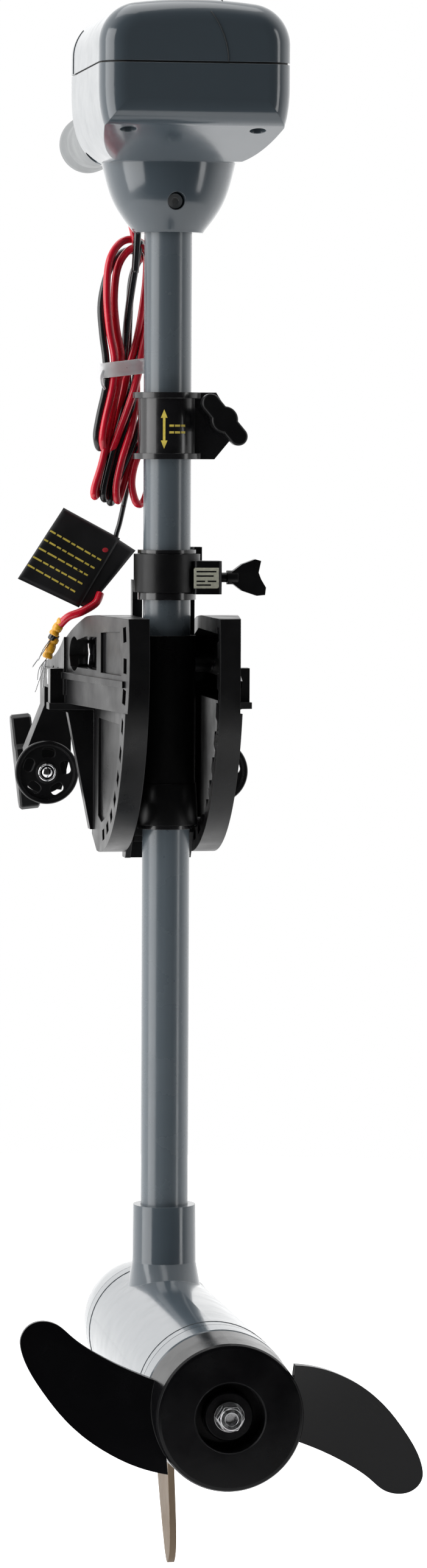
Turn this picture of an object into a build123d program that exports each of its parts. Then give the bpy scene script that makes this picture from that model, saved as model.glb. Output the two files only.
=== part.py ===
from build123d import *
import os
from math import cos, radians, sin, sqrt

os.makedirs("parts", exist_ok=True)

# Transom-mount electric trolling motor, 24 inch shaft, two-blade propeller.
# Frame: +X to starboard, +Y forward to the boat, +Z up. Origin: centre of the seat that rests on
# the transom. Lengths in millimetres, angles in degrees. Every y value below is measured forward
# from the shaft's axis, which stands shaft_y behind the origin.

# Fits
shaft_y = -101.0
fit = 0.05
gap = 0.5

# Shaft
shaft_radius = 14.3
shaft_bore_radius = 11.1
shaft_top = 316.0
shaft_bottom = -349.4

# Head: a long rounded box over a sloping belly and a conical neck
head_half_width = 56.0
head_back = -115.0
head_front = 28.0
head_top = 410.0
head_side_top = 404.0
head_seam = 372.4
head_belly = 340.0
head_side_low = 361.0
neck_top = 320.0
neck_bottom = 279.0
neck_top_radius = 40.0
neck_bottom_radius = 21.8
neck_waist_radius = 33.0
head_wall = 3.0
head_corner = 24.0
head_edge = 15.0
head_front_edge = 8.0
gasket_thickness = 1.0
cover_screws_back = (38.0, -96.0)
cover_screws_front = (43.0, 16.0)
neck_screw_z = 297.0
screw_radius = 2.0
screw_head_radius = 3.6
cable_exit_x = -18.0
cable_exit_y = 22.0
cable_exit_radius = 6.0
cover_screw_seat = 358.0
neck_recess_y = -23.0
neck_recess_radius = 5.2
neck_screw_head_radius = 4.4
neck_screw_radius = 2.5

# Battery meter on the top cover
meter_y = -30.0
meter_width = 44.0
meter_depth = 12.0
meter_thickness = 2.4
button_radius = 4.0
button_y = -52.0
board_drop = 10.0
board_thickness = 1.6
board_width = 52.0
board_length = 44.0

# Tiller
tiller_z = 352.0
tiller_radius = 13.0
tiller_tube_start = 14.0
tiller_tube_end = 222.0
inner_tube_radius = 10.9
inner_tube_start = 54.0
inner_tube_end = 300.0
grip_start = 241.0
grip_end = 370.0
grip_radius = 17.0
grip_bore_radius = 11.0
drive_rod = 6.0
drive_rod_start = 30.0
drive_rod_end = 330.0
drive_tube_radius = 6.5
drive_tube_end = 205.0

# Speed switch and the wires down the shaft
switch_back = -62.0
switch_front = -14.0
switch_width = 44.0
switch_height = 34.0
wires_low = -354.6
wires_high = 333.0
wires_radius = 2.4
wires_pitch = 7.0

# Depth collar
depth_collar_low = 143.8
depth_collar_high = 183.8
depth_collar_radius = 17.8
depth_flange_radius = 21.0
depth_flange = 3.5
depth_knob_x = 30.5
depth_knob_z = 167.5
depth_bolt_radius = 2.5
wing_angle = -50.0
wing_length = 37.0
wing_width = 11.0
wing_hub_radius = 7.0

# Steering collar and tilt body
bush_radius = 16.0
steer_low = 64.0
steer_high = 87.0
steer_radius = 20.0
tension_y = -9.0
tension_z = 73.0
sleeve_top = 38.0
sleeve_bottom = -76.0
sleeve_radius = 17.5
lower_bush_length = 20.0
lug_x = 22.5
lug_y = -9.5
lug_size = 17.0
upright_x = 16.0
upright_y = 16.5

# Bracket: two quadrant plates on a tilt pivot, each with a hook and a screw clamp
pivot_y = 46.0
pivot_z = 25.0
pivot_radius = 5.0
barrel_radius = 12.0
quadrant_radius = 121.0
quadrant_top = 50.0
plate_inner = 21.0
plate_skin = 5.0
flare_start = 33.5
flare_slope = 0.14
flare_origin = -72.0
wedge_aft = -90.0
wedge_forward = 74.0
rim_inner_radius = 114.5
tooth_inner_radius = 108.5
notch_first = 12.5
notch_step = 9.5
notch_count = 10
notch_width = 9.0
lower_skin_x = 35.0
shoulder_z = -6.0
body_half_width = 20.5
jaw_front = 78.0
jaw_outer = 62.0
slot_width = 46.0
arm_back = 64.0
arm_front = 181.0
arm_inner = 37.0
arm_outer = 54.0
hook_top = 15.0
leg_depth = 22.0
clamp_x = 54.0
clamp_z = -53.7
clamp_boss_radius = 14.0
clamp_screw_radius = 5.9
clamp_handle_y = 257.0
recess_depth = 2.0
panel_radius = 103.0
bolt_recess_x = -38.0
bolt_head_face = -36.1
ledge_z = 9.0
ledge_height = 4.0
handle_lean = 6.0
pad_radius = 20.0
pad_back = 144.0
pad_thickness = 8.0
pad_openings = 5
screw_tip = pad_back + 3.0
swivel_radius = 4.4
handle_thickness = 13.0
seat_middle = -shaft_y
bridge_half = arm_inner - gap
bridge_bolt_radius = 3.0
bridge_bolt_head_radius = 5.5
bridge_bolt_z = 8.0
bridge_bolt_aft = seat_middle - 9
bridge_bolt_forward = seat_middle + 13
pivot_nut_radius = 8.0

# Tilt lock
lock_radius = 104.0
lock_pin_radius = 3.0
lock_pin_half = 24.5
lock_travel = 5.8
cheek_inner = 16.9
cheek_outer = 20.2
spring_radius = 3.3
spring_wire = 0.45
spring_turns = 5
spring_pocket = 18.0
spring_pocket_radius = 4.2

# Motor
motor_z = -391.4
pod_back = -215.0
bell_front = -197.0
nose_back = 50.0
nose_tip = 140.0
pod_radius = 43.5
pod_front_radius = 40.5
pod_wall = 3.5
neck_radius = 19.0
neck_collar_top = -307.0
rotor_radius = 5.0
through_bolt_radius = 1.8
through_bolt_offset = 34.6
bolt_head_radius = 3.2
bearing_radius = 13.0
seal_radius = 11.0
magnet_front = -45.0
magnet_length = 105.0
magnet_span = 110.0
magnet_outer = 36.0
magnet_inner = 30.0
core_front = -52.0
core_length = 90.0
core_radius = 28.5
core_slots = 12
winding_radius = 26.5
commutator_front = -8.0
commutator_length = 26.0
commutator_radius = 13.0
brush_plate_front = 6.0
brush_plate_radius = 36.2
brush_y = -20.0
hub_front = -217.0
hub_back = -255.0
hub_front_radius = 43.3
hub_back_radius = 42.0
boss_face = -249.0
blade_middle = -236.0
drive_pin_y = -224.0
drive_pin_radius = 1.6

# Skeg, as y and the height below the motor's axis
skeg_thickness = 4.0
skeg_front = 36.0
skeg_back = -46.0
skeg_root = 36.0
skeg_shoulder = 45.0
skeg_tip = 129.2

# Cables, tie, tag and crimped ends
wire_radius = 2.9
lead_radius = 2.3
loop_high = 268.0
loop_low = 121.0
tie_low = 194.0
tie_high = 207.0
tie_x = -28.2
tie_y = 28.3
tie_width = 32.6
tie_depth = 22.6
tag_turn = -27.0
tag_y = 46.0
tag_middle = (-50.0, 83.5)
tag_width = 56.0
tag_height = 47.0
tag_thickness = 5.0
crimp_radius = 3.2
crimp_length = 17.0


def level(z):
    """Horizontal plane centred on the shaft: local x is +X, local y is +Y."""
    return Plane((0, shaft_y, z))


def facing_aft(y, x=0.0, z=0.0):
    """Upright plane across the boat: local x is +X, local y is +Z, the normal points aft."""
    return Plane((x, shaft_y + y, z), x_dir=(1, 0, 0), z_dir=(0, -1, 0))


def facing_right(x, y=0.0, z=0.0):
    """Upright plane along the boat: local x is +Y, local y is +Z, the normal is +X."""
    return Plane((x, shaft_y + y, z), x_dir=(0, 1, 0), z_dir=(1, 0, 0))


shaft_axis = Axis((0, shaft_y, 0), (0, 0, 1))
pod_axis = Axis((0, shaft_y, motor_z), (0, 1, 0))
pod_side = facing_right(0, 0, motor_z)


def finish(builder, name):
    """Label the piece and write it."""
    builder.part.label = name
    export_step(builder.part, f"parts/{name}.step")


def tube_along_y(start, end, outer, inner, x=0.0, z=0.0):
    """Round tube along Y from start to end."""
    with BuildPart() as tube:
        with BuildSketch(facing_aft(end, x, z)):
            Circle(outer)
            if inner:
                Circle(inner, mode=Mode.SUBTRACT)
        extrude(amount=end - start)
    return tube.part


def tube_along_x(start, end, outer, inner, y=0.0, z=0.0):
    """Round tube along X from start to end."""
    with BuildPart() as tube:
        with BuildSketch(facing_right(start, y, z)):
            Circle(outer)
            if inner:
                Circle(inner, mode=Mode.SUBTRACT)
        extrude(amount=end - start)
    return tube.part


def tube_along_z(start, end, outer, inner, x=0.0, y=0.0):
    """Round tube along Z from start to end."""
    with BuildPart() as tube:
        with BuildSketch(level(start)):
            with Locations((x, y)):
                Circle(outer)
                if inner:
                    Circle(inner, mode=Mode.SUBTRACT)
        extrude(amount=end - start)
    return tube.part


def turned(points, axis=pod_axis, plane=pod_side):
    """Solid of revolution from a closed outline in the plane of its axis."""
    with BuildPart() as piece:
        with BuildSketch(plane):
            with BuildLine():
                Polyline(*points, close=True)
            make_face()
        revolve(axis=axis)
    return piece.part


# ---------------------------------------------------------------------------------------------
# Head
# ---------------------------------------------------------------------------------------------
def head_form(inset):
    """Rounded head volume, pulled in by inset on every side."""
    side = head_half_width - inset
    foot = neck_top_radius - 2 - inset
    low = neck_top + inset
    shoulder = head_side_top - inset
    with BuildPart() as form:
        with BuildSketch(facing_aft(head_front - inset)) as front:
            with BuildLine():
                ThreePointArc((-side, shoulder), (0, head_top - inset), (side, shoulder))
                Line((side, shoulder), (side, head_side_low))
                Spline((side, head_side_low), (foot, low), tangents=((0, -1), (-1, -0.4)))
                Line((foot, low), (-foot, low))
                Spline((-foot, low), (-side, head_side_low), tangents=((-1, 0.4), (0, 1)))
                Line((-side, head_side_low), (-side, shoulder))
            make_face()
            fillet(front.vertices().group_by(Axis.Y)[-1], head_corner - inset)
        extrude(amount=head_front - head_back - 2 * inset)
        with BuildSketch(facing_right(-head_half_width)):
            with BuildLine():
                Polyline(
                    (head_front - inset, head_top + 4),
                    (head_front - inset, low),
                    (inset - neck_top_radius, low),
                    (head_back + inset, head_belly + inset),
                    (head_back + inset, head_top + 4),
                    close=True,
                )
            make_face()
        extrude(amount=2 * head_half_width, mode=Mode.INTERSECT)
        ends = form.faces().filter_by(Axis.Y).sort_by(Axis.Y)
        fillet(ends[0].edges(), head_edge - inset)
        front_edges = form.faces().filter_by(Axis.Y).sort_by(Axis.Y)[-1].edges()
        upper_front = front_edges.filter_by(lambda e: e.center().Z > neck_top + inset + 1)
        fillet(upper_front, head_front_edge - inset)
    return form.part


head_outer = head_form(0)
head_inner = head_form(head_wall)
cover_screw_places = [
    (side * x, y) for side in (-1, 1) for x, y in (cover_screws_back, cover_screws_front)
]

with BuildPart() as head_top_cover:
    add(head_outer)
    add(head_inner, mode=Mode.SUBTRACT)
    split(bisect_by=level(head_seam + gasket_thickness), keep=Keep.TOP)
    with BuildSketch(level(head_seam + gasket_thickness)):
        with Locations(*cover_screw_places):
            Circle(screw_head_radius + 1)
    extrude(amount=head_top - head_seam)
    add(head_outer, mode=Mode.INTERSECT)
    with BuildSketch(level(head_seam + gasket_thickness)):
        with Locations(*cover_screw_places):
            Circle(screw_radius + fit)
    extrude(amount=12, mode=Mode.SUBTRACT)
    with BuildSketch(level(head_top)):
        with Locations((0, meter_y)):
            RectangleRounded(meter_width + 2 * fit, meter_depth + 2 * fit, meter_depth / 2 - 1)
        with Locations((0, button_y)):
            Circle(button_radius + 2 * fit)
    extrude(amount=-8, mode=Mode.SUBTRACT)
finish(head_top_cover, "head_top_cover")

with BuildPart() as neck_shape:
    with BuildSketch(facing_right(0)):
        with BuildLine():
            Polyline((neck_bottom_radius - 1, neck_bottom), (0, neck_bottom), (0, neck_top + 10),
                     (shaft_radius + 4, neck_top + 10), (shaft_radius + 4, neck_top + 0.5),
                     (neck_top_radius, neck_top + 0.5), (neck_top_radius, neck_top))
            Spline((neck_top_radius, neck_top), (neck_waist_radius, neck_screw_z),
                   (neck_bottom_radius, neck_bottom + 1.5), tangents=((-0.25, -1), (-0.8, -1)))
            Line((neck_bottom_radius, neck_bottom + 1.5), (neck_bottom_radius - 1, neck_bottom))
        make_face()
    revolve(axis=shaft_axis)

with BuildPart() as head_base:
    add(head_outer)
    add(head_inner, mode=Mode.SUBTRACT)
    split(bisect_by=level(head_seam), keep=Keep.BOTTOM)
    with BuildSketch(level(head_seam)):
        with Locations(*cover_screw_places):
            Circle(screw_head_radius + 2)
    extrude(amount=neck_top - head_seam)
    add(head_outer, mode=Mode.INTERSECT)
    add(neck_shape.part)
    add(tube_along_y(head_front - head_wall, head_front + 10, tiller_radius + 4, 0, 0, tiller_z))
    add(tube_along_z(neck_bottom - 1, shaft_top, shaft_radius + fit, 0), mode=Mode.SUBTRACT)
    add(tube_along_z(shaft_top - 1, neck_top + 12, shaft_bore_radius, 0), mode=Mode.SUBTRACT)
    add(tube_along_z(neck_bottom - 1, neck_top + head_wall + 1, cable_exit_radius, 0,
                     cable_exit_x, cable_exit_y), mode=Mode.SUBTRACT)
    add(tube_along_y(-neck_top_radius, neck_recess_y, neck_recess_radius, 0, 0, neck_screw_z),
        mode=Mode.SUBTRACT)
    add(tube_along_y(neck_recess_y - 1, -shaft_radius + 1, neck_screw_radius + fit, 0, 0, neck_screw_z),
        mode=Mode.SUBTRACT)
    add(tube_along_y(tiller_tube_start - 2, head_front + 11, tiller_radius + fit, 0, 0, tiller_z),
        mode=Mode.SUBTRACT)
    for x, y in cover_screw_places:
        add(tube_along_z(neck_top - 2, cover_screw_seat, screw_head_radius + 1.2, 0, x, y),
            mode=Mode.SUBTRACT)
        add(tube_along_z(cover_screw_seat - 1, head_seam + 1, screw_radius + fit, 0, x, y),
            mode=Mode.SUBTRACT)
finish(head_base, "head_base")

with BuildPart() as head_gasket:
    with BuildSketch(level(head_seam)):
        with Locations((0, (head_front + head_back) / 2)):
            RectangleRounded(2 * head_half_width - 2.4, head_front - head_back - 2.4, head_edge)
            RectangleRounded(2 * head_half_width - 7.0, head_front - head_back - 7.0, head_edge - 2,
                             mode=Mode.SUBTRACT)
    extrude(amount=gasket_thickness)
finish(head_gasket, "head_gasket")

with BuildPart() as head_screws:
    for x, y in cover_screw_places:
        add(tube_along_z(cover_screw_seat - 2.6, cover_screw_seat, screw_head_radius, 0, x, y))
        add(tube_along_z(cover_screw_seat - 0.1, head_seam + 10, screw_radius, 0, x, y))
    add(tube_along_y(neck_recess_y - 4, neck_recess_y, neck_screw_head_radius, 0, 0, neck_screw_z))
    add(tube_along_y(neck_recess_y - 0.5, -shaft_bore_radius + 0.5, neck_screw_radius, 0, 0, neck_screw_z))
    with BuildSketch(facing_aft(neck_recess_y - 4, 0, neck_screw_z)):
        RegularPolygon(2.2, 6)
    extrude(amount=-2.4, mode=Mode.SUBTRACT)
finish(head_screws, "head_screws")

with BuildPart() as battery_meter_lens:
    with BuildSketch(level(head_top - 2.2)):
        with Locations((0, meter_y)):
            RectangleRounded(meter_width, meter_depth, meter_depth / 2 - 1)
    extrude(amount=meter_thickness)
finish(battery_meter_lens, "battery_meter_lens")

with BuildPart() as battery_meter_button:
    add(tube_along_z(head_top - 4.5, head_top + 1.5, button_radius, 0, 0, button_y))
    add(tube_along_z(head_top - 5.6, head_top - 4.0, button_radius + 1.5, 0, 0, button_y))
    fillet(battery_meter_button.edges().group_by(Axis.Z)[-1], 0.8)
finish(battery_meter_button, "battery_meter_button")

with BuildPart() as battery_meter_board:
    with BuildSketch(level(head_top - board_drop)):
        with Locations((0, (meter_y + button_y) / 2)):
            Rectangle(board_width, board_length)
    extrude(amount=board_thickness)
    with BuildSketch(level(head_top - board_drop + board_thickness)):
        with Locations((0, meter_y)):
            with GridLocations(8, 1, 5, 1):
                Rectangle(4, 4)
    extrude(amount=2.4)
    with BuildSketch(level(head_top - board_drop + board_thickness)):
        with Locations((0, button_y)):
            Rectangle(6, 6)
    extrude(amount=0.9)
finish(battery_meter_board, "battery_meter_board")

# ---------------------------------------------------------------------------------------------
# Tiller, speed switch
# ---------------------------------------------------------------------------------------------
with BuildPart() as speed_switch_body:
    with BuildSketch(facing_aft(switch_front, 0, tiller_z)):
        RectangleRounded(switch_width, switch_height, 4)
        Circle(drive_tube_radius + fit, mode=Mode.SUBTRACT)
    extrude(amount=switch_front - switch_back)
    with BuildSketch(facing_aft(switch_back, 0, tiller_z)):
        with GridLocations(12, 20, 3, 2):
            Rectangle(6, 1)
    extrude(amount=7)
finish(speed_switch_body, "speed_switch_body")

with BuildPart() as speed_switch_shaft:
    with BuildSketch(facing_aft(drive_tube_end, 0, tiller_z)):
        Circle(drive_tube_radius)
        Rectangle(drive_rod + 0.6, drive_rod + 0.6, mode=Mode.SUBTRACT)
    extrude(amount=drive_tube_end - switch_back)
finish(speed_switch_shaft, "speed_switch_shaft")

with BuildPart() as tiller_outer_tube:
    with BuildSketch(facing_aft(tiller_tube_end, 0, tiller_z)):
        Circle(tiller_radius)
        Circle(inner_tube_radius + fit, mode=Mode.SUBTRACT)
    extrude(amount=tiller_tube_end - tiller_tube_start)
finish(tiller_outer_tube, "tiller_outer_tube")

with BuildPart() as tiller_lock_collar:
    with BuildSketch(facing_aft(grip_start - 3, 0, tiller_z)):
        Circle(tiller_radius + 3.2)
        with PolarLocations(tiller_radius + 3.4, 16):
            Circle(0.9, mode=Mode.SUBTRACT)
        Circle(inner_tube_radius + fit, mode=Mode.SUBTRACT)
    extrude(amount=26)
    with BuildSketch(facing_aft(tiller_tube_end + gap, 0, tiller_z)):
        Circle(tiller_radius + fit)
    extrude(amount=20, mode=Mode.SUBTRACT)
finish(tiller_lock_collar, "tiller_lock_collar")

with BuildPart() as tiller_inner_tube:
    with BuildSketch(facing_aft(inner_tube_end, 0, tiller_z)):
        Circle(inner_tube_radius)
        Circle(inner_tube_radius - 1.8, mode=Mode.SUBTRACT)
    extrude(amount=inner_tube_end - inner_tube_start)
finish(tiller_inner_tube, "tiller_inner_tube")

grip_profile = [
    (grip_start, inner_tube_radius + fit), (grip_start, grip_radius - 2.2),
    (grip_start + 2, grip_radius - 0.6), (grip_start + 8, grip_radius),
    (grip_end - 30, grip_radius), (grip_end - 14, grip_radius + 2.0),
    (grip_end - 5, grip_radius + 2.0), (grip_end - 1.5, grip_radius - 1.0),
    (grip_end, grip_radius - 5), (grip_end, grip_bore_radius), (inner_tube_end + 4, grip_bore_radius),
    (inner_tube_end + 4, inner_tube_radius + fit),
]
with BuildPart() as grip:
    add(turned(grip_profile, Axis((0, shaft_y, tiller_z), (0, 1, 0)), facing_right(0, 0, tiller_z)))
    for index in range(4):
        groove = grip_start + 12 + index * 7
        add(tube_along_y(groove, groove + 3.2, grip_radius + 3, grip_radius - 1.3, 0, tiller_z),
            mode=Mode.SUBTRACT)
finish(grip, "grip")

with BuildPart() as grip_core:
    with BuildSketch(facing_aft(grip_end, 0, tiller_z)):
        Circle(grip_bore_radius - fit)
    extrude(amount=grip_end - inner_tube_end - 4 - fit)
    with BuildSketch(facing_aft(drive_rod_end, 0, tiller_z)):
        Rectangle(drive_rod, drive_rod)
    extrude(amount=drive_rod_end - drive_rod_start)
    with BuildSketch(facing_aft(grip_end, 0, tiller_z)):
        Circle(grip_bore_radius - 2)
    extrude(amount=-2.0, taper=30)
finish(grip_core, "grip_core")

# ---------------------------------------------------------------------------------------------
# Shaft and wires
# ---------------------------------------------------------------------------------------------
with BuildPart() as shaft_tube:
    with BuildSketch(level(shaft_bottom)):
        Circle(shaft_radius)
        Circle(shaft_bore_radius, mode=Mode.SUBTRACT)
    extrude(amount=shaft_top - shaft_bottom)
    add(tube_along_y(-shaft_radius - 2, -shaft_bore_radius + 2, neck_screw_radius + fit, 0, 0, neck_screw_z),
        mode=Mode.SUBTRACT)
finish(shaft_tube, "shaft_tube")

with BuildPart() as motor_wires:
    with BuildSketch(level(wires_low)):
        with GridLocations(wires_pitch, 1, 2, 1):
            Circle(wires_radius)
    extrude(amount=wires_high - wires_low)
finish(motor_wires, "motor_wires")

# ---------------------------------------------------------------------------------------------
# Depth collar
# ---------------------------------------------------------------------------------------------
depth_mid = (depth_collar_low + depth_collar_high) / 2
with BuildPart() as depth_collar:
    add(tube_along_z(depth_collar_low, depth_collar_high, depth_collar_radius, 0))
    for z in (depth_collar_low, depth_collar_high - depth_flange):
        add(tube_along_z(z, z + depth_flange, depth_flange_radius, 0))
    with BuildSketch(facing_aft(10.0)):
        with BuildLine():
            Polyline(
                (10, depth_collar_low), (27, depth_collar_low), (37, depth_collar_low + 12),
                (38, depth_mid + 4), (28, depth_collar_high), (10, depth_collar_high), close=True,
            )
        make_face()
    extrude(amount=20)
    add(tube_along_z(depth_collar_low - 1, depth_collar_high + 1, shaft_radius + fit, 0), mode=Mode.SUBTRACT)
    with BuildSketch(facing_aft(1.2)):
        with Locations((30, depth_mid)):
            Rectangle(40, 60)
    extrude(amount=2.4, mode=Mode.SUBTRACT)
    add(tube_along_y(-11, 11, depth_bolt_radius + 2 * fit, 0, depth_knob_x, depth_knob_z),
        mode=Mode.SUBTRACT)
finish(depth_collar, "depth_collar")

with BuildPart() as depth_collar_bolt:
    add(tube_along_y(-25.0, 10.0, depth_bolt_radius, 0, depth_knob_x, depth_knob_z))
    with BuildSketch(facing_aft(14.0, depth_knob_x, depth_knob_z)):
        RegularPolygon(2 * depth_bolt_radius, 6)
    extrude(amount=3.9)
finish(depth_collar_bolt, "depth_collar_bolt")

with BuildPart() as depth_collar_knob:
    add(tube_along_y(-22.5, -10.6, wing_hub_radius, 0, depth_knob_x, depth_knob_z))
    with BuildSketch(facing_aft(-22.0, depth_knob_x, depth_knob_z)):
        SlotOverall(wing_length, wing_width, rotation=wing_angle)
        Circle(wing_hub_radius + 1)
    extrude(amount=7)
    add(tube_along_y(-25.6, -10.0, depth_bolt_radius + fit, 0, depth_knob_x, depth_knob_z),
        mode=Mode.SUBTRACT)
    fillet(depth_collar_knob.edges().group_by(Axis.Y)[0], 1.5)
finish(depth_collar_knob, "depth_collar_knob")

# ---------------------------------------------------------------------------------------------
# Steering bush, tilt body and tension knob
# ---------------------------------------------------------------------------------------------
with BuildPart() as steering_bushing:
    add(tube_along_z(steer_low - 4.5, steer_high + 2.5, bush_radius, 0))
    add(tube_along_z(steer_low - 4.5, steer_low - 0.3, bush_radius + 1.6, 0))
    add(tube_along_z(steer_high + 0.3, steer_high + 2.5, bush_radius + 1.6, 0))
    add(tube_along_z(steer_low - 6, steer_high + 4, shaft_radius + fit, 0), mode=Mode.SUBTRACT)
finish(steering_bushing, "steering_bushing")

lock_angle = radians(notch_first)
lock_out = (-sin(lock_angle), -cos(lock_angle))


def lock_point(radius):
    """Place at that distance from the tilt pivot on the lock pin's line, as y and z."""
    return pivot_y + radius * lock_out[0], pivot_z + radius * lock_out[1]


pin_y, pin_z = lock_point(lock_radius)
lock_plane = Plane((0, shaft_y + pin_y, pin_z), x_dir=(1, 0, 0), z_dir=(0, lock_out[0], lock_out[1]))

with BuildPart() as tilt_body:
    # steering collar with its clamp lug and stop
    add(tube_along_z(steer_low, steer_high, steer_radius, 0))
    with BuildSketch(level(steer_low - 1)):
        with Locations((lug_x, lug_y)):
            RectangleRounded(lug_size, lug_size, 2.5)
    extrude(amount=20)
    with BuildSketch(level(steer_low + 5)):
        with Locations((18, 9)):
            Rectangle(8, 10)
    extrude(amount=22)
    # uprights behind the shaft
    with BuildSketch(level(-5)):
        with Locations((-upright_x, upright_y), (upright_x, upright_y)):
            Rectangle(6, 7)
    extrude(amount=steer_low + 12)
    # sleeve round the shaft with its wider foot
    add(tube_along_z(sleeve_bottom, sleeve_top, sleeve_radius, 0))
    with BuildSketch(level(sleeve_bottom)):
        Circle(sleeve_radius + 1.8)
    with BuildSketch(level(sleeve_bottom + 25)):
        Circle(sleeve_radius + 0.6)
    loft()
    # barrel on the tilt pivot and the web that carries it
    add(tube_along_x(-body_half_width, body_half_width, barrel_radius, 0, pivot_y, pivot_z))
    with BuildSketch(facing_right(-body_half_width + 1.5)):
        with BuildLine():
            Polyline(
                (13, sleeve_top + 2), (pivot_y - 4, pivot_z + barrel_radius - 0.8), (pivot_y, pivot_z),
                (pivot_y - 6, pivot_z - barrel_radius + 2), (24, -14), (13, -14), close=True,
            )
        make_face()
    extrude(amount=2 * body_half_width - 3)
    # spine down to the lock guide
    with BuildSketch(facing_right(-6)):
        with BuildLine():
            Polyline((13, -10), (30, -10), (33, -52), (36, -64), (32, -88), (20, -88), (17.4, -76),
                     (13, -76), close=True)
        make_face()
    extrude(amount=12)
    with BuildSketch(facing_right(-16.5)):
        with BuildLine():
            Polyline((13, -60), (34, -60), (31, -89), (19, -88), (17, -76), (13, -76), close=True)
        make_face()
    extrude(amount=33)
    # bores
    add(tube_along_z(steer_low - 1, steer_high + 8, bush_radius + fit, 0), mode=Mode.SUBTRACT)
    add(tube_along_z(steer_low - 5, steer_low, bush_radius + 2.2, 0), mode=Mode.SUBTRACT)
    add(tube_along_z(steer_high, steer_high + 8, bush_radius + 1.8, 0), mode=Mode.SUBTRACT)
    add(tube_along_z(-95, steer_low, shaft_radius + 0.6, 0), mode=Mode.SUBTRACT)
    add(tube_along_z(sleeve_bottom - 1, sleeve_bottom + lower_bush_length, bush_radius, 0),
        mode=Mode.SUBTRACT)
    add(tube_along_x(-22, 22, pivot_radius + fit, 0, pivot_y, pivot_z), mode=Mode.SUBTRACT)
    add(tube_along_x(14, 34, 3.0, 0, tension_y, tension_z), mode=Mode.SUBTRACT)
    # slot for the lock pin, and the spring's pocket above it
    with BuildSketch(facing_right(-18, pin_y, pin_z)):
        with Locations((lock_out[0] * lock_travel / 2, lock_out[1] * lock_travel / 2)):
            Rectangle(2 * lock_pin_radius + 0.2, 2 * lock_pin_radius + lock_travel + 0.6,
                      rotation=-notch_first)
    extrude(amount=36, mode=Mode.SUBTRACT)
    with BuildSketch(lock_plane):
        Circle(spring_pocket_radius)
    extrude(amount=-spring_pocket, mode=Mode.SUBTRACT)
finish(tilt_body, "tilt_body")

with BuildPart() as lower_bushing:
    add(tube_along_z(sleeve_bottom - 2.5, sleeve_bottom + lower_bush_length - gap, bush_radius - fit, 0))
    add(tube_along_z(sleeve_bottom - 2.5, sleeve_bottom - 0.1, bush_radius + 0.8, 0))
    add(tube_along_z(sleeve_bottom - 3, sleeve_bottom + lower_bush_length, shaft_radius + fit, 0),
        mode=Mode.SUBTRACT)
finish(lower_bushing, "lower_bushing")

with BuildPart() as tension_knob:
    add(tube_along_x(35.0, 41.5, 4.2, 0, tension_y, tension_z))
    with BuildSketch(facing_aft(tension_y + 3.2, 0, tension_z)):
        with BuildLine():
            Polyline((38, 3.5), (44, 8), (52, 11), (55.5, 10), (54, 3), (55.5, -1), (58.5, -6),
                     (58, -10.5), (53, -11), (44, -8), (38, -3.5), close=True)
        make_face()
    extrude(amount=6.4)
    add(tube_along_x(16.4, 36.0, 2.95, 0, tension_y, tension_z))
finish(tension_knob, "tension_knob")

# ---------------------------------------------------------------------------------------------
# Bracket plates
# ---------------------------------------------------------------------------------------------
def flare_at(y):
    """Half width of the plate's outer skin at that place along the boat."""
    return flare_start + flare_slope * (y - flare_origin)


def on_quadrant(radius, angle):
    """Point at that angle aft of straight down from the pivot, as y and z."""
    return pivot_y - radius * sin(radians(angle)), pivot_z - radius * cos(radians(angle))


def outline(radius):
    """Side outline of a quadrant plate, from its toothed arc to the front of the hook."""
    back = pivot_y - sqrt(radius**2 - (quadrant_top - pivot_z) ** 2)
    foot = on_quadrant(radius, -3)
    with BuildLine() as edge:
        ThreePointArc((back, quadrant_top), on_quadrant(radius, 50), foot)
        Polyline(foot, (jaw_front - 1, foot[1] + 10), (jaw_front - 1, 0), (arm_front, 0), (arm_front, 7))
        Spline((arm_front, 7), (arm_front - 18, hook_top), (102, 23), (68, 33), (50, 40), (26, 47),
               (0, quadrant_top), tangents=((-0.6, 1), (-1, 0.05)))
        Line((0, quadrant_top), (back, quadrant_top))
    return edge


def skin_block(inner, aft_half, forward_half, low, high):
    """Wedge along the plate from inner out to the half widths at its two ends, between two levels."""
    with BuildPart() as block:
        with BuildSketch(level(low)):
            with BuildLine():
                Polyline((-inner, wedge_aft), (-aft_half, wedge_aft), (-forward_half, wedge_forward),
                         (-inner, wedge_forward), close=True)
            make_face()
        extrude(amount=high - low)
    return block.part


def skin_form(inner, inset):
    """Space inside the skin: flared towards the clamp arm above the shoulder, straight below it."""
    with BuildPart() as form:
        add(skin_block(inner, flare_at(wedge_aft) - inset, flare_at(wedge_forward) - inset,
                       shoulder_z + inset, quadrant_top + 5))
        add(skin_block(inner, lower_skin_x - inset, lower_skin_x - inset, -120, shoulder_z + inset))
    return form.part


def side_prism(points, start, end):
    """Prism between two half widths, from an outline in the plate's side view."""
    with BuildPart() as prism:
        with BuildSketch(facing_right(start)):
            with BuildLine():
                Polyline(*points, close=True)
            make_face()
        extrude(amount=end - start)
    return prism.part


plate_wedge = skin_form(plate_inner, 0.0)
arm_outline = [(arm_back, -1), (arm_front, -1), (arm_front, 40), (arm_back, 40)]
with BuildPart() as plate_space:
    add(plate_wedge)
    add(side_prism(arm_outline, -arm_outer, -arm_inner))

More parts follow.
